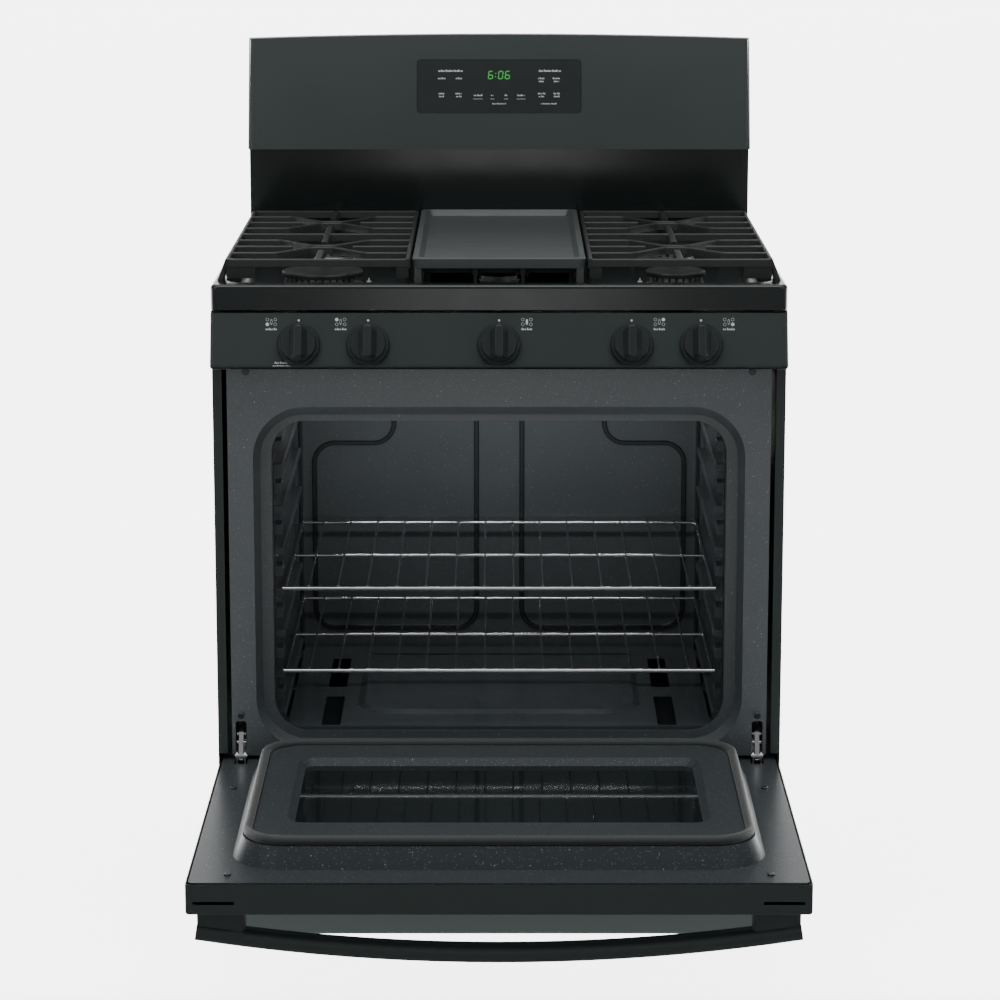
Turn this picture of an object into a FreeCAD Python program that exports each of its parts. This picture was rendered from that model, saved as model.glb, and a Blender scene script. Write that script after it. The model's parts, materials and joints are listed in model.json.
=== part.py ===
import FreeCAD, Part
import math
import os

from FreeCAD import Vector

# A freestanding gas range: five burners, an oven with a drop-down door and a storage drawer.
# Lengths are in millimetres. X runs to the right, Y from front to back and Z up.
# The model is drawn with Y = 0 on the face of the oven's front frame, and save() moves it so
# that its origin is on the floor, midway between the four feet. The oven door is drawn shut
# and turned down about its hinge, because the range rests with its door open.

# Body
BODY_HALF_W = 379.5
BODY_DEPTH = 610.0
SHEET = 1.2
SIDE_BOTTOM = 28.0
SIDE_TOP = 880.0
FLANGE_INNER = 367.0
FLANGE_RETURN = 14.0
ORIGIN_Y = BODY_DEPTH / 2
FOOT_X = 345.0
FOOT_INSET = 45.0

# Oven front frame and cavity
FRAME_HALF_W = 360.5
FRAME_Z = (272.0, 806.0)
FRAME_SHEET = 1.5
RECESS_DEPTH = 30.0
RECESS_HALF_W = 327.2
RECESS_Z = (281.0, 751.0)
RECESS_R = 70.0
RING_HALF_W = 319.6
RING_Z = (288.0, 735.4)
RING_R = 60.0
OPENING_HALF_W = 304.8
OPENING_Z = (299.0, 727.0)
OPENING_R = 46.0
CAVITY_HALF_W = 303.0
CAVITY_Y = (33.0, 500.0)
CAVITY_Z = (232.0, 760.0)
OVEN_FLOOR_Z = 300.0
OVEN_FLOOR_Y = (48.0, 489.0)
OVEN_FLOOR_HALF_W = 289.0

# Racks
RACK_LOW_Z = 376.0
RACK_PITCH = 57.5
RACK_LEVELS = 7
RACK_HALF_W = 293.5
RACK_Y = (55.0, 480.0)

# Door, drawn shut
DOOR_HALF_W = 377.5
DOOR_Z = (240.0, 801.0)
DOOR_INNER_Y = -11.0
DOOR_THICK = 40.0
DOOR_OUTER_Y = DOOR_INNER_Y - DOOR_THICK
HINGE_Y = -4.5
HINGE_Z = 272.5
HINGE_X = 348.5
PLATFORM_HALF_W = 329.0
PLATFORM_Z = (279.0, 749.0)
PLATFORM_R = 68.0
PLATFORM_INSET = 13.0
SHELF_RISE = 26.0
PLATFORM_RISE = 31.0
GASKET_R = 6.0
DOOR_SCREWS = ((349.0, 403.0), (329.0, 768.0))
WINDOW_HALF_W = 255.0
WINDOW_Z = (374.0, 645.0)
HANDLE_Z = 756.0
HANDLE_HALF_W = 370.0
HANDLE_REACH = 73.0
HANDLE_BOW = 29.0
HANDLE_H = 28.0
HANDLE_T = 22.0

# Cooktop and burners
COOKTOP_Z = (882.0, 915.0)
COOKTOP_FRONT_Y = -9.0
COOKTOP_BACK_Y = 606.0
COOKTOP_SHEET = 1.5
WELL_HALF_W = 362.0
WELL_Y = (16.0, 562.0)
WELL_FLOOR_Z = 890.5
BURNER_X = 240.0
BURNER_FRONT_Y = 166.0
BURNER_REAR_Y = 428.0
BURNERS = {
    "left_front": (-BURNER_X, BURNER_FRONT_Y, 111.0),
    "left_rear": (-BURNER_X, BURNER_REAR_Y, 54.0),
    "right_rear": (BURNER_X, BURNER_REAR_Y, 82.0),
    "right_front": (BURNER_X, BURNER_FRONT_Y, 82.0),
}
CAP_SEAT_Z = 904.0
OVAL_HALF_W = 28.5
OVAL_Y = (190.0, 404.0)
OVAL_SEAT_Z = 897.5
BODY_GAP = 0.3

# Grates and griddle
GRATE_TOP = 943.7
GRATE_X = (121.0, 360.0)
GRATE_Y = 35.0
GRATE_PITCH = 65.5
BAR_H = 10.0
BAR_TOP_W = 5.6
BAR_FOOT_W = 7.6
STUB_GAP = 40.0
CENTER_TOP = 931.7
CENTER_HALF_W = 97.0
CENTER_Y = (58.0, 536.0)
CENTER_RAIL_X = 31.6
GRIDDLE_HALF_W = 114.5
GRIDDLE_Y = (27.0, 567.0)
GRIDDLE_Z = (932.0, 945.5)
GRIDDLE_FLOOR = 5.0
GRIDDLE_RIM = 8.0

# Control panel and knobs; the panel leans back from its lower edge
PANEL_LOW = (-38.0, 806.6)
PANEL_HIGH = (-11.0, 878.0)
PANEL_BACK_Y = -2.0
PANEL_SHEET = 1.5
PANEL_SHELF_Y = 14.0
SHELF_INSET = 18.0
PANEL_LEAN = math.degrees(math.atan2(PANEL_HIGH[0] - PANEL_LOW[0], PANEL_HIGH[1] - PANEL_LOW[1]))
KNOB_UP = 33.6
KNOB_R = 28.5
KNOB_GAP = 3.6
STEM_R = 4.0
KNOBS = {
    "left_front": -263.0,
    "left_rear": -172.0,
    "center": 0.0,
    "right_rear": 174.0,
    "right_front": 265.0,
}

# Backguard; its console leans back from its lower edge
GUARD_HALF_W = 367.0
SPLASH_Y = 570.0
CONSOLE_LOW = (532.0, 1037.0)
CONSOLE_HIGH = (583.0, 1200.0)
CONSOLE_CROWN = 6.0
CONSOLE_LEAN = math.degrees(
    math.atan2(CONSOLE_HIGH[0] - CONSOLE_LOW[0], CONSOLE_HIGH[1] - CONSOLE_LOW[1])
)
GLASS_HALF_W = 120.5
GLASS_UP = (53.5, 133.5)

# Drawer
DRAWER_Z = (34.0, 217.0)
DRAWER_FRONT_Y = (-46.0, -30.0)
DRAWER_BOX_HALF_W = 335.0
DRAWER_BOX_Y = (-30.0, 520.0)
DRAWER_BOX_Z = (68.0, 190.0)
RAIL_Z = (78.0, 102.0)


def box(x0, x1, y0, y1, z0, z1):
    return Part.makeBox(x1 - x0, y1 - y0, z1 - z0, Vector(x0, y0, z0))


def rod(start, end, radius):
    """A round bar between two points."""
    along = end - start
    return Part.makeCylinder(radius, along.Length, start, along)


def fuse(shapes):
    whole = shapes[0].multiFuse(shapes[1:]) if len(shapes) > 1 else shapes[0]
    return whole.removeSplitter()


def mirrored(shape):
    return shape.mirror(Vector(0, 0, 0), Vector(1, 0, 0))


def both_sides(shapes):
    """The shapes, and their mirror images on the left."""
    return list(shapes) + [mirrored(s) for s in shapes]


def rounded_path(points, radius, closed=False):
    """Straight runs through the points, with a tangent arc at each corner."""
    count = len(points)
    corners = []
    for i, corner in enumerate(points):
        if not closed and i in (0, count - 1):
            corners.append((corner, None, corner))
            continue
        back = (points[i - 1] - corner).normalize()
        ahead = (points[(i + 1) % count] - corner).normalize()
        half = back.getAngle(ahead) / 2
        reach = radius / math.tan(half)
        middle = corner + (back + ahead).normalize() * (radius / math.sin(half) - radius)
        corners.append((corner + back * reach, middle, corner + ahead * reach))
    edges = []
    for i, (start, middle, end) in enumerate(corners):
        if closed or i > 0:
            leaving = corners[i - 1][2]
            if leaving.distanceToPoint(start) > 1e-6:
                edges.append(Part.makeLine(leaving, start))
        if middle is not None:
            edges.append(Part.Arc(start, middle, end).toShape())
    return Part.Wire(edges)


def upright_outline(x0, x1, z0, z1, radius, y):
    """A rounded rectangle that stands upright at depth y."""
    points = [Vector(x0, y, z0), Vector(x1, y, z0), Vector(x1, y, z1), Vector(x0, y, z1)]
    return rounded_path(points, radius, closed=True)


def upright_plate(x0, x1, z0, z1, radius, y0, y1):
    face = Part.Face(upright_outline(x0, x1, z0, z1, radius, y0))
    return face.extrude(Vector(0, y1 - y0, 0))


def flat_outline(x0, x1, y0, y1, radius, z):
    """A rounded rectangle that lies flat at height z."""
    points = [Vector(x0, y0, z), Vector(x1, y0, z), Vector(x1, y1, z), Vector(x0, y1, z)]
    return rounded_path(points, radius, closed=True)


def flat_plate(x0, x1, y0, y1, radius, z0, z1):
    face = Part.Face(flat_outline(x0, x1, y0, y1, radius, z0))
    return face.extrude(Vector(0, 0, z1 - z0))


def loft(*outlines):
    return Part.makeLoft(list(outlines), True, True)


def bent_tube(points, radius, bend):
    """A round tube, drawn solid, whose centreline runs through the points."""
    path = rounded_path(points, bend)
    ring = Part.Wire(Part.makeCircle(radius, points[0], points[1] - points[0]))
    return path.makePipeShell([ring], True, True)


def section_yz(points, x0, x1):
    """A prism along X whose section is the polygon of (y, z) points."""
    corners = [Vector(x0, y, z) for y, z in points]
    face = Part.Face(Part.makePolygon(corners + corners[:1]))
    return face.extrude(Vector(x1 - x0, 0, 0))


def fillet_where(shape, radius, wanted):
    """The shape with each edge rounded whose middle point passes the test."""
    edges = [e for e in shape.Edges if wanted(e.BoundBox.Center, e)]
    return shape.makeFillet(radius, edges)


def on_level(z):
    """Picks the edges that lie at one height."""
    return lambda c, e: abs(c.z - z) < 0.01


def on_front(y):
    """Picks the edges that lie at one depth."""
    return lambda c, e: abs(c.y - y) < 0.01


def screw(head_center, outward, head_r, shank):
    """A pan-head screw: its head stands on head_center and its shank points inward."""
    head = Part.makeCylinder(head_r, 2.4, head_center, outward)
    head = head.makeFillet(1.2, [max(head.Edges, key=lambda e: e.BoundBox.Center.dot(outward))])
    stem = Part.makeCylinder(head_r * 0.45, shank, head_center, outward * -1)
    drive = Part.makeCylinder(head_r * 0.35, 1.2, head_center + outward * 1.4, outward)
    return head.fuse(stem).cut(drive)


def lean_panel(shape):
    """Turns a shape drawn on an upright control panel onto the leaning one."""
    shape.rotate(Vector(0, *PANEL_LOW), Vector(1, 0, 0), -PANEL_LEAN)
    return shape


def lean_console(shape):
    """Turns a shape drawn on an upright console onto the leaning one."""
    shape.rotate(Vector(0, *CONSOLE_LOW), Vector(1, 0, 0), -CONSOLE_LEAN)
    return shape


def open_door(shape):
    """Turns a shape of the shut door down to where the open door rests."""
    shape.rotate(Vector(0, HINGE_Y, HINGE_Z), Vector(1, 0, 0), 90)
    return shape


def save(name, shapes):
    """Writes one sub-part, moved to the range's own origin."""
    solids = [solid for shape in shapes for solid in shape.Solids]
    whole = Part.makeCompound(solids) if len(solids) > 1 else solids[0]
    whole.translate(Vector(0, -ORIGIN_Y, 0))
    if not whole.isValid():
        print("not valid:", name)
    volume = sum(solid.Volume for solid in solids)
    whole.exportStep(os.path.join("parts", name + ".step"))
    print(f"{name}: {len(solids)} solids, {volume / 1000:.1f} cm3")


# ---------------------------------------------------------------- body shell and base


def side_panel():
    """The right side panel: a sheet with flanges all round and a shallow pressed field."""
    inner = BODY_HALF_W - SHEET
    press_depth = 2.0
    notch_depth = 31.0
    shell = fuse([
        box(inner, BODY_HALF_W, 0, BODY_DEPTH - SHEET, SIDE_BOTTOM, SIDE_TOP),
        box(FLANGE_INNER, BODY_HALF_W, 0, SHEET, SIDE_BOTTOM, SIDE_TOP),
        box(FLANGE_INNER, FLANGE_INNER + SHEET, 0, FLANGE_RETURN, SIDE_BOTTOM, SIDE_TOP),
        box(FLANGE_INNER, BODY_HALF_W, 0, BODY_DEPTH - SHEET, SIDE_TOP - SHEET, SIDE_TOP),
        box(FLANGE_INNER, BODY_HALF_W, BODY_DEPTH - 2 * SHEET, BODY_DEPTH - SHEET,
            SIDE_BOTTOM, SIDE_TOP),
    ])
    field = upright_plate(-275, 215, 130, 790, 30, inner - press_depth, inner)
    dish = upright_plate(-275 + SHEET, 215 - SHEET, 130 + SHEET, 790 - SHEET, 30 - SHEET,
                         inner - press_depth + SHEET, BODY_HALF_W + 1)
    for part in (field, dish):
        part.rotate(Vector(0, 0, 0), Vector(0, 0, 1), -90)
        part.translate(Vector(0, ORIGIN_Y - 30, 0))
    door_notch = box(FLANGE_INNER - 1, inner, -1, notch_depth, 205, 275)
    return fuse([shell, field]).cut(dish).cut(door_notch)


def rear_cover():
    """The back sheet, with rows of louvre slots and a window for the gas connection."""
    y0 = BODY_DEPTH - SHEET
    sheet = upright_plate(-368, 368, 60, 876, 6, y0, BODY_DEPTH)
    slots = []
    for row in range(3):
        for column in range(7):
            x = -255 + 85 * column
            z = 790 - 26 * row
            slots.append(upright_plate(x - 30, x + 30, z - 3, z + 3, 2.9, y0 - 1, BODY_DEPTH + 1))
    window = upright_plate(200, 320, 560, 700, 8, y0 - 1, BODY_DEPTH + 1)
    gland_hole = rod(Vector(-250, y0 - 1, 640), Vector(-250, BODY_DEPTH + 1, 640), 11.2)
    return sheet.cut(slots + [window, gland_hole])


def base_frame():
    """The bottom frame: a ring of folded channel with plates that carry the feet."""
    z0, z1 = 48.0, 64.0
    ring = box(-377, 377, 15, 606, z0, z1).cut(box(-357, 357, 35, 586, z0 - 1, z1 + 1))
    hollow = box(-375.8, 375.8, 16.2, 604.8, z0 - 1, z1 - SHEET)
    hollow = hollow.cut(box(-358.2, 358.2, 33.8, 587.2, z0 - 2, z1))
    plates = [
        box(FOOT_X - 22, FOOT_X + 30, y - 24, y + 24, z1 - 4, z1)
        for y in (FOOT_INSET, BODY_DEPTH - FOOT_INSET)
    ]
    frame = fuse([ring.cut(hollow)] + both_sides(plates))
    holes = [rod(Vector(x, y, z0), Vector(x, y, z1 + 1), 5.3) for x, y in foot_places()]
    return frame.cut(holes)


def foot_places():
    return [(x, y) for x in (-FOOT_X, FOOT_X) for y in (FOOT_INSET, BODY_DEPTH - FOOT_INSET)]


def leveling_legs():
    """Four screw-in feet, each a pad, a hexagon and a threaded stem drawn plain."""
    legs = []
    for x, y in foot_places():
        pad = Part.makeCone(17, 14, 12, Vector(x, y, 0))
        corners = [
            Vector(x + 11 * math.cos(a), y + 11 * math.sin(a), 12)
            for a in (math.radians(60 * k) for k in range(7))
        ]
        hexagon = Part.Face(Part.makePolygon(corners)).extrude(Vector(0, 0, 10))
        stem = Part.makeCylinder(5, 58, Vector(x, y, 20))
        legs.append(fuse([pad, hexagon, stem]))
    return legs


# ---------------------------------------------------------------- oven


def oven_front_frame():
    """The enamelled front of the oven: a flat face with a drawn recess round the opening."""
    face = upright_plate(-FRAME_HALF_W, FRAME_HALF_W, *FRAME_Z, 3, 0, FRAME_SHEET)
    thick = FRAME_SHEET
    outer = loft(
        upright_outline(-RECESS_HALF_W - thick, RECESS_HALF_W + thick, RECESS_Z[0] - thick,
                        RECESS_Z[1] + thick, RECESS_R + thick, 0),
        upright_outline(-RING_HALF_W - thick, RING_HALF_W + thick, RING_Z[0] - thick,
                        RING_Z[1] + thick, RING_R + thick, RECESS_DEPTH + thick),
    )
    inner = loft(
        upright_outline(-RECESS_HALF_W, RECESS_HALF_W, *RECESS_Z, RECESS_R, 0),
        upright_outline(-RING_HALF_W, RING_HALF_W, *RING_Z, RING_R, RECESS_DEPTH),
    )
    opening = upright_plate(-OPENING_HALF_W, OPENING_HALF_W, *OPENING_Z, OPENING_R, -1,
                            RECESS_DEPTH + thick + 1)
    frame = face.fuse(outer).cut(inner).cut(opening)
    slots = [upright_plate(341, 356, 250, 320, 4, -1, FRAME_SHEET + 1)]
    holes = [
        rod(Vector(x, -1, z), Vector(x, FRAME_SHEET + 1, z), 2.2)
        for x, z in ((335, 798), (348.5, 328))
    ]
    return frame.cut(both_sides(slots + holes))


def frame_screws():
    outward = Vector(0, -1, 0)
    places = ((335, 798), (348.5, 328))
    return both_sides([screw(Vector(x, 0, z), outward, 4.4, 9) for x, z in places])


def rack_guides():
    """The ledges down the right wall that the racks run on, and the nubs that stop them."""
    wall = CAVITY_HALF_W
    guides = []
    for level in range(RACK_LEVELS):
        top = RACK_LOW_Z + RACK_PITCH * (level - 1) - 3.3
        ledge = section_yz([(66, top - 9), (66, top), (484, top), (484, top - 9)], wall - 12, wall + 0.5)
        ledge = ledge.makeFillet(3.5, [
            e for e in ledge.Edges
            if abs(e.BoundBox.Center.x - (wall - 12)) < 0.1 and e.BoundBox.YLength > 100
        ])
        nub = box(wall - 10, wall + 0.5, 66, 96, top + 18, top + 32)
        nub = nub.makeFillet(3, [e for e in nub.Edges if abs(e.BoundBox.Center.x - (wall - 10)) < 0.1])
        guides += [ledge, nub]
    return guides


def back_beads():
    """The raised lines pressed into the right half of the back wall."""
    y = CAVITY_Y[1]
    inner_x, step_x, outer_x = 33.5, 155.0, 273.0
    low, step, high = 327.0, 607.0, CAVITY_Z[1]
    line = [
        Vector(inner_x, y, high), Vector(inner_x, y, low), Vector(outer_x, y, low),
        Vector(outer_x, y, step), Vector(step_x, y, step), Vector(step_x, y, high),
    ]
    path = rounded_path(line, 30)
    profile = Part.makePolygon([
        Vector(inner_x - 4, y + 0.4, high), Vector(inner_x + 4, y + 0.4, high),
        Vector(inner_x + 2.4, y - 3, high), Vector(inner_x - 2.4, y - 3, high),
        Vector(inner_x - 4, y + 0.4, high),
    ])
    return path.makePipeShell([profile], True, False)


def oven_cavity():
    """The enamelled oven box, open at the front, with its rack guides and pressed back."""
    wall = SHEET
    y0, y1 = CAVITY_Y
    z0, z1 = CAVITY_Z
    outer = flat_plate(-CAVITY_HALF_W - wall, CAVITY_HALF_W + wall, y0, y1 + wall, 18, z0 - wall, z1 + wall)
    inner = flat_plate(-CAVITY_HALF_W, CAVITY_HALF_W, y0 - 40, y1, 17, z0, z1)
    collar = upright_plate(-CAVITY_HALF_W - 10, CAVITY_HALF_W + 10, z0 - wall, z1 + wall, 8, y0 - wall, y0)
    mouth = upright_plate(-OPENING_HALF_W + 1.5, OPENING_HALF_W - 1.5, OPENING_Z[0], OPENING_Z[1] + 2,
                          OPENING_R, y0 - 2 * wall, y0 + 19)
    front = box(-CAVITY_HALF_W - wall, CAVITY_HALF_W + wall, y0, y0 + 18.5, z0 - wall, z1 + wall)
    shell = fuse([outer.cut(inner).cut(front), collar])
    shell = shell.cut(mouth)
    rim = outer.common(front).cut(inner)
    guides = rack_guides()
    supports = [
        box(OVEN_FLOOR_HALF_W - 14, CAVITY_HALF_W + 0.5, y, y + 40, OVEN_FLOOR_Z - 8, OVEN_FLOOR_Z - SHEET)
        for y in (60, 240, 430)
    ]
    whole = fuse([shell, rim] + both_sides(guides + supports + [back_beads()]))
    lamp_hole = rod(Vector(222, y1 - 5, 700), Vector(222, y1 + 5, 700), 24)
    broil_hole = rod(Vector(60, y1 - 5, 742), Vector(60, y1 + 5, 742), 9)
    bake_hole = rod(Vector(0, y1 - 5, 262), Vector(0, y1 + 5, 262), 9.5)
    return whole.cut([lamp_hole, broil_hole, bake_hole])


def oven_floor_panel():
    """The loose floor of the oven, with side slots, a rear slot and pressed curves."""
    z = OVEN_FLOOR_Z
    half = OVEN_FLOOR_HALF_W
    y0, y1 = OVEN_FLOOR_Y
    plate = flat_plate(-half, half, y0, y1, 8, z - SHEET, z)
    lip = box(-half, half, y0, y0 + SHEET, z - 8, z)
    raised = loft(
        flat_outline(-200, 200, 110, 425, 60, z - SHEET),
        flat_outline(-188, 188, 122, 413, 50, z + 4),
    )
    hollow = loft(
        flat_outline(-200 + SHEET, 200 - SHEET, 110 + SHEET, 425 - SHEET, 59, z - 2 * SHEET),
        flat_outline(-188 + SHEET, 188 - SHEET, 122 + SHEET, 413 - SHEET, 49, z + 4 - SHEET),
    )
    slots = [
        flat_plate(217, 243, 53, 204, 5, z - 9, z + 5),
        flat_plate(217, 243, 255, 418, 5, z - 9, z + 5),
    ]
    rear_slot = flat_plate(-198, 198, 438, 448, 4.5, z - 9, z + 5)
    return fuse([plate, lip, raised]).cut(hollow).cut(both_sides(slots) + [rear_slot])


def cavity_insulation():
    """The glass-wool blanket wrapped round the oven box."""
    gap = 0.3 + SHEET
    outer = flat_plate(-330, 330, CAVITY_Y[0] + 6, 528, 20, 214, 790)
    inner = flat_plate(-CAVITY_HALF_W - gap, CAVITY_HALF_W + gap, CAVITY_Y[0] - 20, CAVITY_Y[1] + gap,
                       18, CAVITY_Z[0] - gap, CAVITY_Z[1] + gap)
    lamp = rod(Vector(222, CAVITY_Y[1], 700), Vector(222, 540, 700), 30)
    broil = rod(Vector(60, CAVITY_Y[1], 742), Vector(60, 540, 742), 10)
    bake = rod(Vector(0, CAVITY_Y[1], 262), Vector(0, 540, 262), 10.5)
    return outer.cut(inner).cut([lamp, broil, bake])


def bake_burner():
    """The burner under the oven floor: a straight tube with a flame spreader over it."""
    z = 262.0
    tube = rod(Vector(0, 90, z), Vector(0, 535, z), 9)
    spreader = section_yz([(110, z + 12), (110, z + 13.5), (470, z + 13.5), (470, z + 12)], -70, 70)
    posts = [rod(Vector(0, y, z), Vector(0, y, z + 12.5), 4) for y in (130, 450)]
    return fuse([tube, spreader] + posts)


def broil_burner():
    """The burner under the oven ceiling: one looped tube with two hanger straps."""
    z = 742.0
    route = [
        Vector(60, 535, z), Vector(60, 110, z), Vector(-60, 110, z), Vector(-60, 450, z),
    ]
    tube = bent_tube(route, 8, 40)
    straps = [box(-75, 75, y, y + 14, z + 8.2, z + 9.6) for y in (170, 400)]
    posts = [rod(Vector(x, y + 7, z + 5), Vector(x, y + 7, CAVITY_Z[1]), 3)
             for x in (-60, 60) for y in (170, 400)]
    return fuse([tube] + straps + posts)


def oven_light():
    """The lamp at the back of the oven: a glass dome in a metal ring, with its holder behind."""
    x, z = 222.0, 700.0
    y = CAVITY_Y[1]
    ring = rod(Vector(x, y - 3, z), Vector(x, y, z), 31)
    holder = rod(Vector(x, y, z), Vector(x, y + 24, z), 23.5)
    dome = Part.makeSphere(26, Vector(x, y + 4, z)).cut(box(x - 40, x + 40, y - 3, y + 40, z - 40, z + 40))
    return fuse([ring, holder, dome])


# ---------------------------------------------------------------- door (drawn shut)


def platform_loft(inset, shelf, top, base):
    """The drawn platform of the door liner: a sloping side up to a shelf, then a raised top."""
    low = (PLATFORM_HALF_W - inset, PLATFORM_Z[0] + inset, PLATFORM_Z[1] - inset)
    step = PLATFORM_INSET + inset
    mid = (PLATFORM_HALF_W - step, PLATFORM_Z[0] + step, PLATFORM_Z[1] - step)
    side = loft(
        upright_outline(-low[0], low[0], low[1], low[2], PLATFORM_R - inset, base),
        upright_outline(-mid[0], mid[0], mid[1], mid[2], PLATFORM_R - step, shelf),
    )
    ridge = mid[0] - 2 * GASKET_R - 1
    field = upright_plate(-ridge, ridge, mid[1] + 2 * GASKET_R + 1, mid[2] - 2 * GASKET_R - 1,
                          PLATFORM_R - step - 10, shelf - 2, top)
    return side.fuse(field)


def door_liner():
    """The enamelled inside of the door: a flange, the raised platform and the window funnel."""
    y = DOOR_INNER_Y
    flange = upright_plate(-374, 374, 243, 798, 6, y - SHEET, y)
    lips = both_sides([box(374 - SHEET, 374, y - 12, y, 255, 786)])
    lips += [box(-362, 362, y - 12, y, 798 - SHEET, 798), box(-362, 362, y - 12, y, 243, 243 + SHEET)]
    outer = platform_loft(0, y + SHELF_RISE, y + PLATFORM_RISE, y - SHEET)
    hollow = platform_loft(SHEET, y + SHELF_RISE - SHEET, y + PLATFORM_RISE - SHEET, y - 2 * SHEET)
    rim, glass_y = y + PLATFORM_RISE, y + PLATFORM_RISE - 9
    funnel_out = loft(window_outline(9 + SHEET, rim), window_outline(SHEET, glass_y))
    funnel_in = loft(window_outline(9, rim + 0.01), window_outline(0, glass_y - 0.01))
    shell = fuse([flange, outer] + lips).cut(hollow)
    shell = fuse([shell, funnel_out]).cut(funnel_in)
    hinge_slots = [
        box(HINGE_X - 8.5, HINGE_X + 8.5, y - 14, y + 1, HINGE_Z - 14, HINGE_Z + 16),
    ]
    holes = [
        rod(Vector(x, y - 5, z), Vector(x, y + 1, z), 2.2) for x, z in DOOR_SCREWS
    ]
    return shell.cut(both_sides(hinge_slots + holes))


def window_outline(grow, y):
    return upright_outline(-WINDOW_HALF_W - grow, WINDOW_HALF_W + grow, WINDOW_Z[0] - grow,
                           WINDOW_Z[1] + grow, 14 + grow, y)


def door_gasket():
    """The braided seal: a round rope that runs all round the platform on its shelf."""
    y = DOOR_INNER_Y + SHELF_RISE + GASKET_R
    half = PLATFORM_HALF_W - PLATFORM_INSET - GASKET_R
    z0 = PLATFORM_Z[0] + PLATFORM_INSET + GASKET_R
    z1 = PLATFORM_Z[1] - PLATFORM_INSET - GASKET_R
    corner_r = PLATFORM_R - PLATFORM_INSET - GASKET_R
    path = upright_outline(-half, half, z0, z1, corner_r, y)
    start = path.Edges[0].Vertexes[0].Point
    along = path.Edges[0].Vertexes[1].Point - start
    ring = Part.Wire(Part.makeCircle(GASKET_R, start, along))
    return path.makePipeShell([ring], True, True)


def door_outer_panel():
    """The painted outside of the door: a pan with a window opening and cooling slots."""
    y0, y1 = DOOR_OUTER_Y, DOOR_INNER_Y - 1.5
    z0, z1 = DOOR_Z
    outer = upright_plate(-DOOR_HALF_W, DOOR_HALF_W, z0, z1, 4, y0, y1)
    outer = fillet_where(outer, 3.5, on_front(y0))
    hollow = upright_plate(-DOOR_HALF_W + SHEET, DOOR_HALF_W - SHEET, z0 + SHEET, z1 - SHEET, 3,
                           y0 + SHEET, y1 + 1)
    window = upright_plate(-268, 268, 352, 668, 12, y0 - 1, y0 + SHEET + 1)
    slot_y = DOOR_INNER_Y - 25
    slots = [
        box(DOOR_HALF_W - 59, DOOR_HALF_W - 9, slot_y - 2, slot_y + 2, z1 - SHEET - 1, z1 + 1),
        box(DOOR_HALF_W - 59, DOOR_HALF_W - 9, slot_y - 2, slot_y + 2, z0 - 1, z0 + SHEET + 1),
    ]
    return outer.cut(hollow).cut([window] + both_sides(slots))


def door_inner_glass():
    y = DOOR_INNER_Y + PLATFORM_RISE - 9
    return upright_plate(-264, 264, 364, 655, 6, y - 4, y)


def door_outer_glass():
    y = DOOR_OUTER_Y + SHEET
    return upright_plate(-282, 282, 338, 682, 6, y, y + 4)


def door_handle():
    """The bowed bar and the two end blocks that hold it off the door."""
    front = DOOR_OUTER_Y - HANDLE_REACH
    radius = (HANDLE_HALF_W**2 + HANDLE_BOW**2) / (2 * HANDLE_BOW)
    center = Vector(0, front + radius, HANDLE_Z)
    sweep = math.degrees(math.asin(HANDLE_HALF_W / radius))
    z0, z1 = HANDLE_Z - HANDLE_H / 2, HANDLE_Z + HANDLE_H / 2
    outline = rounded_path([
        Vector(0, front, z0), Vector(0, front + HANDLE_T, z0),
        Vector(0, front + HANDLE_T, z1), Vector(0, front, z1),
    ], 8.5, closed=True)
    face = Part.Face(outline)
    face.rotate(center, Vector(0, 0, 1), -sweep)
    bar = face.revolve(center, Vector(0, 0, 1), 2 * sweep)
    ends_y = front + HANDLE_BOW
    block = upright_plate(308, 367, HANDLE_Z - 11, HANDLE_Z + 11, 6, ends_y + 9, DOOR_OUTER_Y - 0.05)
    return [bar.fuse(both_sides([block])).removeSplitter()]


def door_hinges():
    """Each hinge's ears and pin, on a plate inside the door's flange."""
    axis_y, axis_z = HINGE_Y, HINGE_Z
    plate_y = DOOR_INNER_Y - SHEET - 0.1
    ears = []
    for x in (HINGE_X - 6.3, HINGE_X + 4.5):
        ear = fuse([
            rod(Vector(x, axis_y, axis_z), Vector(x + 1.8, axis_y, axis_z), 6.5),
            box(x, x + 1.8, plate_y - 14, axis_y, axis_z - 6.5, axis_z + 6.5),
            box(x, x + 1.8, plate_y - 14, plate_y - 1, axis_z - 24, axis_z + 90),
        ])
        ears.append(ear)
    web = box(HINGE_X - 6.3, HINGE_X + 6.3, plate_y - 15.8, plate_y - 14, axis_z - 24, axis_z + 90)
    pin = rod(Vector(HINGE_X - 8, axis_y, axis_z), Vector(HINGE_X + 8, axis_y, axis_z), 3)
    return both_sides([fuse(ears + [web, pin])])


def door_screws():
    outward = Vector(0, 1, 0)
    return both_sides([
        screw(Vector(x, DOOR_INNER_Y, z), outward, 4.4, 8) for x, z in DOOR_SCREWS
    ])


def hinge_arms():
    """The two arms that hook into the body and carry the door's hinge pins."""
    x0, x1 = HINGE_X - 3, HINGE_X + 3
    neck = section_yz([
        (HINGE_Y - 5, HINGE_Z + 3), (HINGE_Y + 6, HINGE_Z - 1.5), (14, 284), (18, 292),
        (62, 296), (62, 310), (14, 310), (4, 304),
    ], x0, x1)
    eye = rod(Vector(x0, HINGE_Y, HINGE_Z), Vector(x1, HINGE_Y, HINGE_Z), 6)
    bore = rod(Vector(x0 - 1, HINGE_Y, HINGE_Z), Vector(x1 + 1, HINGE_Y, HINGE_Z), 3.06)
    rollers = [
        rod(Vector(HINGE_X - 6, y, z), Vector(HINGE_X + 6, y, z), 2.6)
        for y, z in ((5.5, 289), (8, 300))
    ]
    return both_sides([fuse([neck, eye] + rollers).cut(bore)])


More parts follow.
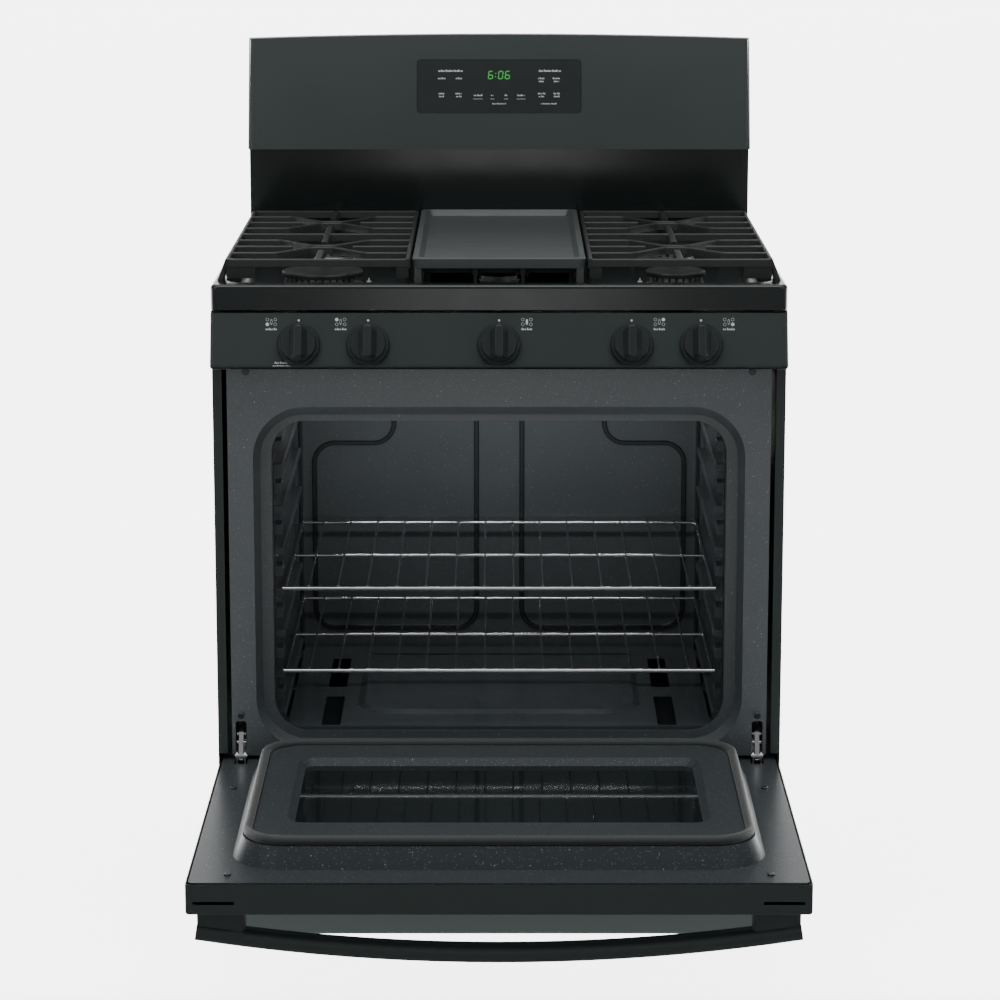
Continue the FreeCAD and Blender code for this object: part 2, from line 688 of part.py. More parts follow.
def hinge_receivers():
    """The folded brackets behind the front frame that the hinge arms hook into."""
    x0, x1 = HINGE_X - 9, HINGE_X + 9
    y0, y1 = FRAME_SHEET, 66.0
    z0, z1 = 277.0, 336.0
    body = box(x0, x1, y0, y1, z0, z1)
    hollow = box(x0 + 1.6, x1 - 1.6, y0 - 1, y1 - 1.6, z0 - 1, z1 - 1.6)
    bolt_room = rod(Vector(HINGE_X, 0, 328), Vector(HINGE_X, 14, 328), 2.2)
    return both_sides([body.cut(hollow).cut(bolt_room)])


# ---------------------------------------------------------------- racks


def rack(level):
    """A wire rack: a bent front and back wire, side wires, and wires from front to back."""
    z = RACK_LOW_Z + RACK_PITCH * level
    y0, y1 = RACK_Y
    side = RACK_HALF_W - 3.2
    frame = [
        rod(Vector(-RACK_HALF_W, y0, z), Vector(RACK_HALF_W, y0, z), 3),
        rod(Vector(-side, y1, z), Vector(side, y1, z), 2.5),
        rod(Vector(-side, 259, z), Vector(side, 259, z), 2.5),
    ]
    for x in (-side, side):
        frame.append(rod(Vector(x, y0, z), Vector(x, y1, z), 2.5))
        frame.append(Part.makeSphere(2.5, Vector(x, y1, z)))
    wire_r, pitch, count = 1.4, 39.7, 14
    first = -pitch * (count - 1) / 2
    wires = [
        rod(Vector(first + pitch * k, y0, z + 3.2), Vector(first + pitch * k, y1, z + 3.2), wire_r)
        for k in range(count)
    ]
    return fuse(frame + wires)


# ---------------------------------------------------------------- cooktop and burners


def cooktop():
    """The enamelled top: a rolled rim round a drawn well with a hole for each burner."""
    z0, z1 = COOKTOP_Z
    y0, y1 = COOKTOP_FRONT_Y, COOKTOP_BACK_Y
    wall = COOKTOP_SHEET
    half = BODY_HALF_W
    outer = flat_plate(-half, half, y0, y1, 9, z0, z1)
    outer = fillet_where(outer, 5, on_level(z1))
    hollow = flat_plate(-half + wall, half - wall, y0 + wall, y1 - wall, 7.5, z0 - 1, z1 - wall)
    hollow = fillet_where(hollow, 3.5, on_level(z1 - wall))
    floor_z = WELL_FLOOR_Z
    slope = 7.0
    x, front, back = WELL_HALF_W, WELL_Y[0], WELL_Y[1]
    well_out = loft(
        flat_outline(-x - wall, x + wall, front - wall, back + wall, 26, z1),
        flat_outline(-x - wall + slope, x + wall - slope, front - wall + slope, back + wall - slope,
                     22, floor_z - wall),
    )
    well_in = loft(
        flat_outline(-x, x, front, back, 24.5, z1 + 0.01),
        flat_outline(-x + slope, x - slope, front + slope, back - slope, 20.5, floor_z),
    )
    rim = outer.cut(hollow).cut(well_out)
    sheet = fuse([rim, well_out.cut(well_in)])
    holes = [
        rod(Vector(x, y, floor_z - 5), Vector(x, y, floor_z + 5), d / 2 - 10)
        for x, y, d in BURNERS.values()
    ]
    oval = flat_plate(-OVAL_HALF_W + 8, OVAL_HALF_W - 8, OVAL_Y[0] + 8, OVAL_Y[1] - 8, 20,
                      floor_z - 5, floor_z + 5)
    pin_holes = [
        rod(Vector(x, y, floor_z - 5), Vector(x, y, floor_z + 5), 3.6) for x, y in electrode_places()
    ]
    return sheet.cut(holes + [oval] + pin_holes)


def electrode_places():
    """Each burner's spark electrode stands on the side towards the middle of the range."""
    places = []
    for x, y, d in BURNERS.values():
        side = 1 if x < 0 else -1
        places.append((x + side * (d / 2 + 7), y))
    places.append((OVAL_HALF_W + 10, (OVAL_Y[0] + OVAL_Y[1]) / 2))
    return places


def burner_bases():
    """The cast burner heads: a flange on the cooktop, a slotted crown and a throat below."""
    heads = []
    for x, y, d in BURNERS.values():
        r = d / 2
        flange = Part.makeCone(r + 1, r - 3, 4, Vector(x, y, WELL_FLOOR_Z))
        crown = Part.makeCylinder(r - 4, CAP_SEAT_Z - WELL_FLOOR_Z, Vector(x, y, WELL_FLOOR_Z))
        throat = Part.makeCylinder(r - 11, 14, Vector(x, y, WELL_FLOOR_Z - 14))
        count = int(2 * math.pi * r / 10.5)
        ports = []
        for k in range(count):
            port = box(x + r - 14, x + r, y - 1.3, y + 1.3, CAP_SEAT_Z - 6.5, CAP_SEAT_Z + 1)
            port.rotate(Vector(x, y, 0), Vector(0, 0, 1), 360 * k / count)
            ports.append(port)
        bowl = Part.makeCylinder(r - 12, 11, Vector(x, y, CAP_SEAT_Z - 10))
        neck = Part.makeCylinder(5, 30, Vector(x, y, WELL_FLOOR_Z - 15))
        heads.append(fuse([flange, crown, throat]).cut(ports + [bowl, neck]))
    heads.append(oval_base())
    return heads


def oval_base():
    z0, z1 = WELL_FLOOR_Z, OVAL_SEAT_Z
    y0, y1 = OVAL_Y
    w = OVAL_HALF_W
    flange = flat_plate(-w, w, y0, y1, w - 0.1, z0, z0 + 2)
    crown = flat_plate(-w + 3, w - 3, y0 + 3, y1 - 3, w - 3.1, z0, z1)
    throat = flat_plate(-w + 9, w - 9, y0 + 9, y1 - 9, w - 9.1, z0 - 12, z0)
    ports = []
    for k in range(15):
        y = y0 + 36 + 10 * k
        ports.append(box(-w - 1, w + 1, y - 1.2, y + 1.2, z1 - 3.5, z1 + 1))
    bowl = flat_plate(-w + 9, w - 9, y0 + 9, y1 - 9, w - 9.1, z1 - 5, z1 + 1)
    neck = Part.makeCylinder(5, 30, Vector(0, (y0 + y1) / 2, z0 - 15))
    return fuse([flange, crown, throat]).cut(ports + [bowl, neck])


def burner_cap(name):
    """A loose enamelled cap: a domed disc with a locating ring under it."""
    x, y, d = BURNERS[name]
    r = d / 2
    z = CAP_SEAT_Z + BODY_GAP
    disc = Part.makeCylinder(r, 6.5, Vector(x, y, z))
    disc = fillet_where(disc, 3, on_level(z + 6.5))
    ring = Part.makeCylinder(r - 13, 4, Vector(x, y, z - 4))
    ring = ring.cut(Part.makeCylinder(r - 16, 6, Vector(x, y, z - 5)))
    return fuse([disc, ring])


def center_cap():
    z = OVAL_SEAT_Z + BODY_GAP
    w = OVAL_HALF_W
    disc = flat_plate(-w, w, OVAL_Y[0], OVAL_Y[1], w - 0.1, z, z + 5)
    disc = fillet_where(disc, 2, on_level(z + 5))
    inset = 11
    ring = flat_plate(-w + inset, w - inset, OVAL_Y[0] + inset, OVAL_Y[1] - inset, w - inset - 0.1, z - 2.5, z)
    return fuse([disc, ring])


def spark_electrodes():
    """Five ceramic pins with a steel tip, one beside each burner."""
    pins = []
    for x, y in electrode_places():
        body = rod(Vector(x, y, WELL_FLOOR_Z - 22), Vector(x, y, WELL_FLOOR_Z + 5), 3.2)
        collar = rod(Vector(x, y, WELL_FLOOR_Z), Vector(x, y, WELL_FLOOR_Z + 1.5), 4.4)
        tip = rod(Vector(x, y, WELL_FLOOR_Z + 4), Vector(x, y, WELL_FLOOR_Z + 9), 1)
        pins.append(fuse([body, collar, tip]))
    return pins


# ---------------------------------------------------------------- gas line


def panel_point(x, up, out):
    """A point given by its height up the control panel and its distance out of it."""
    lean = math.radians(PANEL_LEAN)
    y = PANEL_LOW[0] + up * math.sin(lean) - out * math.cos(lean)
    z = PANEL_LOW[1] + up * math.cos(lean) + out * math.sin(lean)
    return Vector(x, y, z)


def gas_manifold():
    """The gas rail behind the control panel, and its feed pipe down the right side."""
    y, z = 41.0, 818.0
    rail = rod(Vector(-330, y, z), Vector(330, y, z), 8)
    feed = bent_tube([
        Vector(325, y, z), Vector(352, y, z), Vector(352, 568, z), Vector(352, 568, 660),
        Vector(290, 568, 660),
    ], 7.5, 20)
    return fuse([rail, feed])


def pressure_regulator():
    """The gas regulator: a domed body, a spring cap and a threaded inlet facing down."""
    x, y, z = 262.0, 568.0, 660.0
    body = rod(Vector(x, y - 22, z), Vector(x, y + 22, z), 27)
    cap = rod(Vector(x, y - 34, z), Vector(x, y - 22, z), 15)
    port = rod(Vector(x, y, z - 20), Vector(x, y, z - 52), 15)
    collar = rod(Vector(x, y, z - 34), Vector(x, y, z - 52), 17)
    inlet = rod(Vector(x, y, z - 53), Vector(x, y, z - 28), 10.3)
    socket = rod(Vector(x + 18, y, z), Vector(x + 40, y, z), 7.8)
    return fuse([body, cap, port, collar]).cut([inlet, socket])


def burner_valves():
    """One gas valve behind each knob, tapped onto the rail, with a bore for its stem."""
    valves = []
    for x in KNOBS.values():
        body = rod(panel_point(x, KNOB_UP, -16), panel_point(x, KNOB_UP, -52), 13)
        nose = rod(panel_point(x, KNOB_UP, -8), panel_point(x, KNOB_UP, -16), 8)
        tap = rod(Vector(x, 24, 822), Vector(x, 41, 818), 7)
        outlet = rod(Vector(x, 16, 828), Vector(x, 16, 852), 6)
        bore = rod(panel_point(x, KNOB_UP, 0), panel_point(x, KNOB_UP, -46), STEM_R + 0.06)
        valves.append(fuse([body, nose, tap, outlet]).cut(bore))
    rail = rod(Vector(-340, 41, 818), Vector(340, 41, 818), 8)
    return [valve.cut(rail) for valve in valves]


def burner_supply_tubes():
    """The thin tubes that carry gas from each valve to its burner."""
    tubes = []
    places = dict(BURNERS, center=(0.0, (OVAL_Y[0] + OVAL_Y[1]) / 2, 0.0))
    lane = {"left_front": 866, "left_rear": 862, "center": 866, "right_rear": 862, "right_front": 866}
    for name, valve_x in KNOBS.items():
        x, y, _ = places[name]
        z = lane[name]
        route = [Vector(valve_x, 16, 852), Vector(valve_x, 16, z), Vector(valve_x, y, z)]
        if abs(x - valve_x) > 1:
            route.append(Vector(x, y, z))
        route.append(Vector(x, y, WELL_FLOOR_Z - 12))
        tubes.append(bent_tube(route, 3.2, 8))
    return tubes


# ---------------------------------------------------------------- grates


def grate_bar(points, top, height=BAR_H, chamfer=1.4, extra=0.0):
    """A cast bar whose plan follows the points, wider at its foot, with eased top edges."""
    start = points[0]
    along = (points[1] - points[0]).normalize()
    across = Vector(-along.y, along.x, 0)
    half_top, half_foot = (BAR_TOP_W + extra) / 2, (BAR_FOOT_W + extra) / 2
    corners = [
        (-half_foot, top - height), (half_foot, top - height), (half_top, top - chamfer),
        (half_top - chamfer, top), (chamfer - half_top, top), (-half_top, top - chamfer),
    ]
    outline = [Vector(start.x, start.y, z) + across * a for a, z in corners]
    profile = Part.makePolygon(outline + outline[:1])
    flat = [Vector(p.x, p.y, start.z) for p in points]
    if len(flat) == 2:
        return Part.Face(profile).extrude(flat[1] - flat[0])
    return rounded_path(flat, 14).makePipeShell([profile], True, False)


def grate_foot(x, y, outer):
    """A foot that flares out onto the cooktop's rim, or goes down to the floor of its well."""
    if outer:
        low, flare, half = COOKTOP_Z[1] + BODY_GAP, 9.0, 17.0
    else:
        low, flare, half = WELL_FLOOR_Z + BODY_GAP, 0.0, 10.0
    top = GRATE_TOP - 3
    base = flat_outline(x - 4 + flare, x + 4 + flare, y - half, y + half, 2, low)
    head = flat_outline(x - 3.4, x + 3.4, y - half * 0.8, y + half * 0.8, 2, top)
    return loft(base, head)


def side_grate():
    """The right grate: nine bars on two rails, bent in towards the two burners."""
    x0, x1 = GRATE_X
    rows = [GRATE_Y + GRATE_PITCH * k for k in range(9)]
    bend_out, bend_in, shift, short = 60.0, 15.0, 56.0, 41.0
    level = GRATE_TOP - BAR_H
    bars = []
    for k, y in enumerate(rows):
        if k % 4 == 0:
            bars.append(grate_bar([Vector(x0, y, level), Vector(x1, y, level)], GRATE_TOP))
        elif k % 4 == 2:
            bars.append(grate_bar([Vector(x0, y, level), Vector(BURNER_X - short, y, level)], GRATE_TOP))
            bars.append(grate_bar([Vector(BURNER_X + short, y, level), Vector(x1, y, level)], GRATE_TOP))
        else:
            near = y + shift if k % 4 == 1 else y - shift
            bars.append(grate_bar([
                Vector(x0, y, level), Vector(BURNER_X - bend_out, y, level),
                Vector(BURNER_X - bend_in, near, level), Vector(BURNER_X + bend_in, near, level),
                Vector(BURNER_X + bend_out, y, level), Vector(x1, y, level),
            ], GRATE_TOP))
    for start, tip in (
        (rows[0], BURNER_FRONT_Y - STUB_GAP), (rows[4], BURNER_FRONT_Y + STUB_GAP),
        (rows[4], BURNER_REAR_Y - STUB_GAP), (rows[8], BURNER_REAR_Y + STUB_GAP),
    ):
        ends = [Vector(BURNER_X, start, level), Vector(BURNER_X, tip, level)]
        bars.append(grate_bar(ends, GRATE_TOP, extra=3.0))
    for x in (x0, x1):
        bars.append(grate_bar([
            Vector(x, rows[0] - 3, level), Vector(x, rows[-1] + 3, level),
        ], GRATE_TOP, height=BAR_H + 2))
    feet = []
    for y in (rows[0] + 14, rows[4], rows[-1] - 14):
        feet.append(grate_foot(x1, y, True))
        feet.append(grate_foot(x0, y, False))
    webs = [
        upright_plate(left, right, COOKTOP_Z[1] + 3, GRATE_TOP - 6, 3, y - 3, y + 3)
        for y in (rows[0], rows[-1])
        for left, right in ((x1 - 36, x1 + 1), (x0 - 1, x0 + 15))
    ]
    return fuse(bars + feet + webs)


def center_grate():
    """The low middle grate under the griddle, on four feet and four posts round the oval burner."""
    top = CENTER_TOP
    level = top - BAR_H
    floor = WELL_FLOOR_Z + BODY_GAP
    y0, y1 = CENTER_Y
    half = CENTER_HALF_W
    middle = (y0 + y1) / 2
    across = [
        grate_bar([Vector(-half, y, level), Vector(half, y, level)], top, height=9.4)
        for y in (y0, y0 + 120, middle, y1 - 120, y1)
    ]
    sides = [
        grate_bar([Vector(x, y0 - 3, level), Vector(x, y1 + 3, level)], top, height=9.4)
        for x in (-half, half)
    ]
    front, rear = GRIDDLE_Y[0] + 9, GRIDDLE_Y[1] - 17
    rails = [
        grate_bar([Vector(x, front, level), Vector(x, rear, level)], top, height=9.4)
        for x in (-CENTER_RAIL_X, CENTER_RAIL_X)
    ]
    posts = [
        box(x - 2.4, x + 2.4, y, y + 8, floor, top - 3)
        for x in (-CENTER_RAIL_X, CENTER_RAIL_X) for y in (front, rear - 8)
    ]
    feet = [
        loft(
            flat_outline(x - 5, x + 5, y - 12, y + 12, 2, floor),
            flat_outline(x - 3.4, x + 3.4, y - 10, y + 10, 2, top - 3),
        )
        for x in (-half, half) for y in (y0 + 14, y1 - 14)
    ]
    return fuse(across + sides + rails + posts + feet)


def griddle():
    """The cast griddle: a long tray with a thin raised rim and a leg at each corner."""
    half = GRIDDLE_HALF_W
    y0, y1 = GRIDDLE_Y
    z0, z1 = GRIDDLE_Z
    rim = GRIDDLE_RIM
    outer = loft(
        flat_outline(-half + 1.5, half - 1.5, y0 + 1.5, y1 - 1.5, 8, z0),
        flat_outline(-half, half, y0, y1, 9, z1),
    )
    outer = fillet_where(outer, 1.6, on_level(z1))
    inner = loft(
        flat_outline(-half + rim, half - rim, y0 + rim, y1 - rim, 9, z1 + 0.01),
        flat_outline(-half + rim + 6, half - rim - 6, y0 + rim + 6, y1 - rim - 6, 6,
                     z0 + GRIDDLE_FLOOR),
    )
    legs = [
        flat_plate(half - 12.5, half - 2, y, y + 10, 2, WELL_FLOOR_Z + BODY_GAP, z0 + 2)
        for y in (y0 + 3, y1 - 24)
    ]
    return fuse([outer.cut(inner)] + both_sides(legs))


# ---------------------------------------------------------------- control panel and knobs


def control_panel():
    """The leaning front panel, folded from sheet, with closed ends and five stem holes."""
    half = BODY_HALF_W
    (y_low, z_low), (y_high, z_high) = PANEL_LOW, PANEL_HIGH
    back = PANEL_BACK_Y
    t = PANEL_SHEET
    outer = section_yz([(y_low, z_low), (y_high, z_high), (back, z_high), (back, z_low)], -half, half)
    outer = fillet_where(outer, 5, lambda c, e: abs(c.y - y_low) < 0.5 and e.BoundBox.XLength > 100)
    outer = fillet_where(
        outer, 4, lambda c, e: abs(abs(c.x) - half) < 0.01 and c.y < (y_low + y_high) / 2 + 2
    )
    hollow = section_yz([
        (y_low + 1.3 * t, z_low + t), (y_high + 1.3 * t, z_high - t), (back + 1, z_high - t),
        (back + 1, z_low + t),
    ], -half + t, half - t)
    holes = [
        rod(panel_point(x, KNOB_UP, 3), panel_point(x, KNOB_UP, -9), 9) for x in KNOBS.values()
    ]
    shelf = box(-half + SHELF_INSET, half - SHELF_INSET, back - 1, PANEL_SHELF_Y, z_high - t, z_high)
    return outer.cut(hollow).cut(holes).fuse(shelf).removeSplitter()


def knob(x):
    """A knob: a thin skirt, a round body and a grip bar across it, bored for the stem."""
    def at(out):
        return Vector(x, PANEL_LOW[0] - KNOB_GAP - out, PANEL_LOW[1] + KNOB_UP)

    outward = Vector(0, -1, 0)
    skirt = Part.makeCone(KNOB_R, KNOB_R - 1.5, 4, at(0), outward)
    body = Part.makeCone(KNOB_R - 4, KNOB_R - 6, 12, at(0), outward)
    z = PANEL_LOW[1] + KNOB_UP
    reach = KNOB_R - 5.5
    grip = loft(
        upright_outline(x - 5, x + 5, z - reach + 2, z + reach - 2, 4, at(27).y),
        upright_outline(x - 12.5, x + 12.5, z - reach, z + reach, 9, at(10).y),
    )
    grip = fillet_where(grip, 1.5, on_front(at(27).y))
    bore = Part.makeCylinder(STEM_R + 0.06, 18, at(-1), outward)
    hollow = Part.makeCylinder(14, 3, at(-1), outward)
    whole = fuse([skirt, body, grip]).cut([bore, hollow])
    return lean_panel(whole)


def valve_stem(x):
    """The stem that a knob is pushed and turned on; its flat is left out."""
    return rod(panel_point(x, KNOB_UP, -40), panel_point(x, KNOB_UP, KNOB_GAP + 16), STEM_R)


# ---------------------------------------------------------------- backguard


def backsplash_panel():
    """The low panel behind the burners, its side returns and its top corner brackets."""
    z0, z1 = COOKTOP_Z[1], CONSOLE_LOW[1]
    y = SPLASH_Y
    half = GUARD_HALF_W
    face = box(-half, half, y, y + SHEET, z0, z1)
    foot = box(-half, half, y, y + 28, z0, z0 + SHEET)
    sides = both_sides([box(half - SHEET, half, y, BODY_DEPTH - SHEET, z0, z1)])
    tabs = both_sides([box(half - 16, half - 2, y - 7, y, z1 - 9, z1)])
    vents = [upright_plate(x - 34, x + 34, z0 + 7, z0 + 11, 1.9, y - 1, y + SHEET + 1)
             for x in (-90, 0, 90)]
    return fuse([face, foot] + sides + tabs).cut(vents)


def console_solid(inset, half, back):
    """The console's wedge, crowned along its top, inset on its front, top and ends."""
    (y_low, z_low), (y_high, z_high) = CONSOLE_LOW, CONSOLE_HIGH
    slope = (y_high - y_low) / (z_high - z_low)
    forward = inset * math.hypot(1, slope)
    z_top = z_high + 5
    wedge = section_yz([
        (y_low + forward, z_low), (y_low + forward + slope * (z_top - z_low), z_top),
        (back, z_top), (back, z_low),
    ], -half + inset, half - inset)
    radius = (half**2 + CONSOLE_CROWN**2) / (2 * CONSOLE_CROWN)
    crown = Part.makeCylinder(radius - inset, 200, Vector(0, y_low - 50, z_high - radius), Vector(0, 1, 0))
    return wedge.common(crown)


def backguard_console():
    """The leaning control housing at the top of the backguard, open at the back and below."""
    back = BODY_DEPTH - 2 * SHEET
    outer = console_solid(0, GUARD_HALF_W, back)
    outer = fillet_where(
        outer, 7,
        lambda c, e: abs(abs(c.x) - GUARD_HALF_W) < 0.5 and c.y < back - 30 and e.BoundBox.ZLength > 100,
    )
    hollow = console_solid(SHEET, GUARD_HALF_W, back + 5)
    hollow = hollow.cut(box(-400, 400, 500, SPLASH_Y, CONSOLE_LOW[1] - 1, CONSOLE_LOW[1] + SHEET))
    y, z = CONSOLE_LOW
    window = upright_plate(-GLASS_HALF_W, GLASS_HALF_W, z + GLASS_UP[0], z + GLASS_UP[1], 6, y - 5, y + 8)
    return outer.cut(hollow).cut(lean_console(window))


def control_glass():
    """The touch panel, set a little below the face of the console."""
    y, z = CONSOLE_LOW
    gap = 0.4
    pane = upright_plate(-GLASS_HALF_W + gap, GLASS_HALF_W - gap, z + GLASS_UP[0] + gap,
                         z + GLASS_UP[1] - gap, 5.6, y + 0.5, y + 3.5)
    return lean_console(pane)


def control_board():
    """The clock and oven control board on standoffs behind the touch panel."""
    y, z = CONSOLE_LOW
    low, high = z + GLASS_UP[0] - 12, z + GLASS_UP[1] + 12
    board = box(-140, 140, y + 14, y + 15.6, low, high)
    parts = [
        box(-60, -20, y + 15.6, y + 30, low + 20, low + 50),
        box(20, 44, y + 15.6, y + 34, low + 20, low + 44),
        box(70, 94, y + 15.6, y + 34, low + 20, low + 44),
        box(-30, 30, y + 8, y + 14, high - 50, high - 30),
    ]
    posts = [rod(Vector(x, y + 1.2, v), Vector(x, y + 14, v), 3)
             for x in (-134, 134) for v in (low + 5, high - 5)]
    return lean_console(fuse([board] + parts + posts))


def backguard_rear_cover():
    """The back sheet of the backguard, with its louvres."""
    half = GUARD_HALF_W
    z0, z1 = COOKTOP_Z[1], CONSOLE_HIGH[1] - CONSOLE_CROWN - 2
    y0 = BODY_DEPTH - 2 * SHEET
    sheet = upright_plate(-half + 4, half - 4, z0, z1, 6, y0 + SHEET, BODY_DEPTH)
    slots = [
        upright_plate(-260 + 104 * k - 38, -260 + 104 * k + 38, z - 3, z + 3, 2.9, y0, BODY_DEPTH + 1)
        for k in range(6) for z in (960, 984, 1008)
    ]
    return sheet.cut(slots)


def cord_gland():
    """The bushing in the rear cover that the supply cord would pass through."""
    x, z = -250.0, 640.0
    y1 = BODY_DEPTH
    flange = rod(Vector(x, y1, z), Vector(x, y1 + 3, z), 14)
    body = rod(Vector(x, y1 - 12, z), Vector(x, y1 + 0.5, z), 11)
    bore = rod(Vector(x, y1 - 13, z), Vector(x, y1 + 4, z), 4.5)
    return fuse([flange, body]).cut(bore)


# ---------------------------------------------------------------- drawer


def drawer_front():
    """The painted drawer front: a shallow pan with its open side to the drawer."""
    y0, y1 = DRAWER_FRONT_Y
    z0, z1 = DRAWER_Z
    half = BODY_HALF_W - 2
    outer = upright_plate(-half, half, z0, z1, 4, y0, y1)
    outer = fillet_where(outer, 3.5, on_front(y0))
    hollow = upright_plate(-half + SHEET, half - SHEET, z0 + SHEET, z1 - SHEET, 3, y0 + SHEET, y1 + 1)
    return outer.cut(hollow)


def drawer_box():
    """The drawer's steel tray, with a runner folded out along each side."""
    half = DRAWER_BOX_HALF_W
    y0, y1 = DRAWER_BOX_Y
    z0, z1 = DRAWER_BOX_Z
    t = SHEET
    front = upright_plate(-half - 26, half + 26, z0 - 8, z1 + 6, 4, y0, y0 + t)
    tray = box(-half, half, y0, y1, z0, z1).cut(box(-half + t, half - t, y0 + t, y1 - t, z0 + t, z1 + 1))
    runner = box(half, half + 22, y0 + 30, y1, RAIL_Z[0] + 11, RAIL_Z[0] + 13)
    runner_lip = box(half + 20, half + 22, y0 + 30, y1, RAIL_Z[0] + 7, RAIL_Z[0] + 17)
    beads = [flat_plate(-half + 60, half - 60, y, y + 14, 6.9, z0 + t, z0 + t + 2) for y in (90, 240, 390)]
    return fuse([front, tray] + both_sides([runner, runner_lip]) + beads)


def drawer_rails():
    """The fixed channels that the drawer's runners slide in."""
    x0, x1 = DRAWER_BOX_HALF_W + 17, FLANGE_INNER - 0.5
    z0, z1 = RAIL_Z
    channel = box(x0, x1, 30, 590, z0, z1)
    room = box(x0 - 1, x1 - 1.6, 29, 591, z0 + 1.6, z1 - 1.6)
    brackets = [box(x1 - 1.6, BODY_HALF_W - SHEET, y, y + 30, z0, z1) for y in (60, 520)]
    mouth = box(x0 - 1, x0 + 1.6, 29, 591, z0 + 1.6, z1 - 1.6)
    return both_sides([fuse([channel.cut(room).cut(mouth)] + brackets)])


def main():
    os.makedirs("parts", exist_ok=True)
    right_side = side_panel()
    save("side_panel_right", [right_side.copy()])
    save("side_panel_left", [mirrored(right_side)])
    save("rear_cover", [rear_cover()])
    save("base_frame", [base_frame()])
    save("leveling_legs", leveling_legs())

    save("oven_front_frame", [oven_front_frame()])
    save("frame_screws", frame_screws())
    save("oven_cavity", [oven_cavity()])
    save("oven_floor_panel", [oven_floor_panel()])
    save("cavity_insulation", [cavity_insulation()])
    save("oven_burners", [bake_burner(), broil_burner()])
    save("oven_light", [oven_light()])
    save("hinge_arms", hinge_arms())
    save("hinge_receivers", hinge_receivers())

    door_parts = {
        "door_outer_panel": [door_outer_panel()],
        "door_liner": [door_liner()],
        "door_gasket": [door_gasket()],
        "door_inner_glass": [door_inner_glass()],
        "door_outer_glass": [door_outer_glass()],
        "door_handle": door_handle(),
        "door_hinges": door_hinges(),
        "door_screws": door_screws(),
    }
    for name, shapes in door_parts.items():
        save(name, [open_door(shape) for shape in shapes])

    save("rack_lower", [rack(0)])
    save("rack_upper", [rack(2)])

    save("cooktop", [cooktop()])
    save("burner_bases", burner_bases())
    save("spark_electrodes", spark_electrodes())
    for name in BURNERS:
        save("burner_cap_" + name, [burner_cap(name)])
    save("burner_cap_center", [center_cap()])
    save("gas_manifold", [gas_manifold()])
    save("pressure_regulator", [pressure_regulator()])
    save("burner_valves", burner_valves())
    save("burner_supply_tubes", burner_supply_tubes())

    right_grate = side_grate()
    save("grate_right", [right_grate.copy()])
    save("grate_left", [mirrored(right_grate)])
    save("grate_center", [center_grate()])
    save("griddle", [griddle()])

    save("control_panel", [control_panel()])
    for name, x in KNOBS.items():
        save("knob_" + name, [knob(x)])
        save("valve_stem_" + name, [valve_stem(x)])

    save("backsplash_panel", [backsplash_panel()])
    save("backguard_console", [backguard_console()])
    save("control_glass", [control_glass()])
    save("control_board", [control_board()])
    save("backguard_rear_cover", [backguard_rear_cover()])
    save("cord_gland", [cord_gland()])

    save("drawer_front", [drawer_front()])
    save("drawer_box", [drawer_box()])
    save("drawer_rails", drawer_rails())


main()
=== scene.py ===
import json
import math

import bmesh
import bpy
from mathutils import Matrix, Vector


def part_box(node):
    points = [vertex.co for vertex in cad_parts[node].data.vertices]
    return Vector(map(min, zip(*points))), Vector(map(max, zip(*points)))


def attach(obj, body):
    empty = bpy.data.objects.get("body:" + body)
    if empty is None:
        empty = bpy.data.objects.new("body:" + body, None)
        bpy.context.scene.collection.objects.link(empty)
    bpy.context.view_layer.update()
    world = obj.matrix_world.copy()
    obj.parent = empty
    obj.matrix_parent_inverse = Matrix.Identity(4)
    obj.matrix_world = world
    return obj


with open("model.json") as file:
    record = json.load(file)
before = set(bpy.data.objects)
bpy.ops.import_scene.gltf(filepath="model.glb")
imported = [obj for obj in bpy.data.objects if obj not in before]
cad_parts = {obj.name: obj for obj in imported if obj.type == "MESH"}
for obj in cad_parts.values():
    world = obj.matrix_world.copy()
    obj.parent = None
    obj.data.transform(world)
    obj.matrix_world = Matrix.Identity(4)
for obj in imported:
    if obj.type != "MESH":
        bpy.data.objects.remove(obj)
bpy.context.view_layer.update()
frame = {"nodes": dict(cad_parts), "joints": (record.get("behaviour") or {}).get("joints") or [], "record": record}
nodes = frame["nodes"]
record = frame["record"]
joints = {j["name"]: j for j in frame["joints"]}

MM = 0.001
# The front of the oven's frame is the plane that the range is measured from.
FRONT_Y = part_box("oven_front_frame")[0].y
# The inner face of the oven's back wall, which is one sheet thick.
CAVITY_BACK_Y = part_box("oven_cavity")[1].y - 1.2 * MM
# The console's face leans back by 51 mm over a height of 163 mm.
CONSOLE_LEAN = math.atan2(51.0, 163.0)


# ---------------------------------------------------------------- node helpers


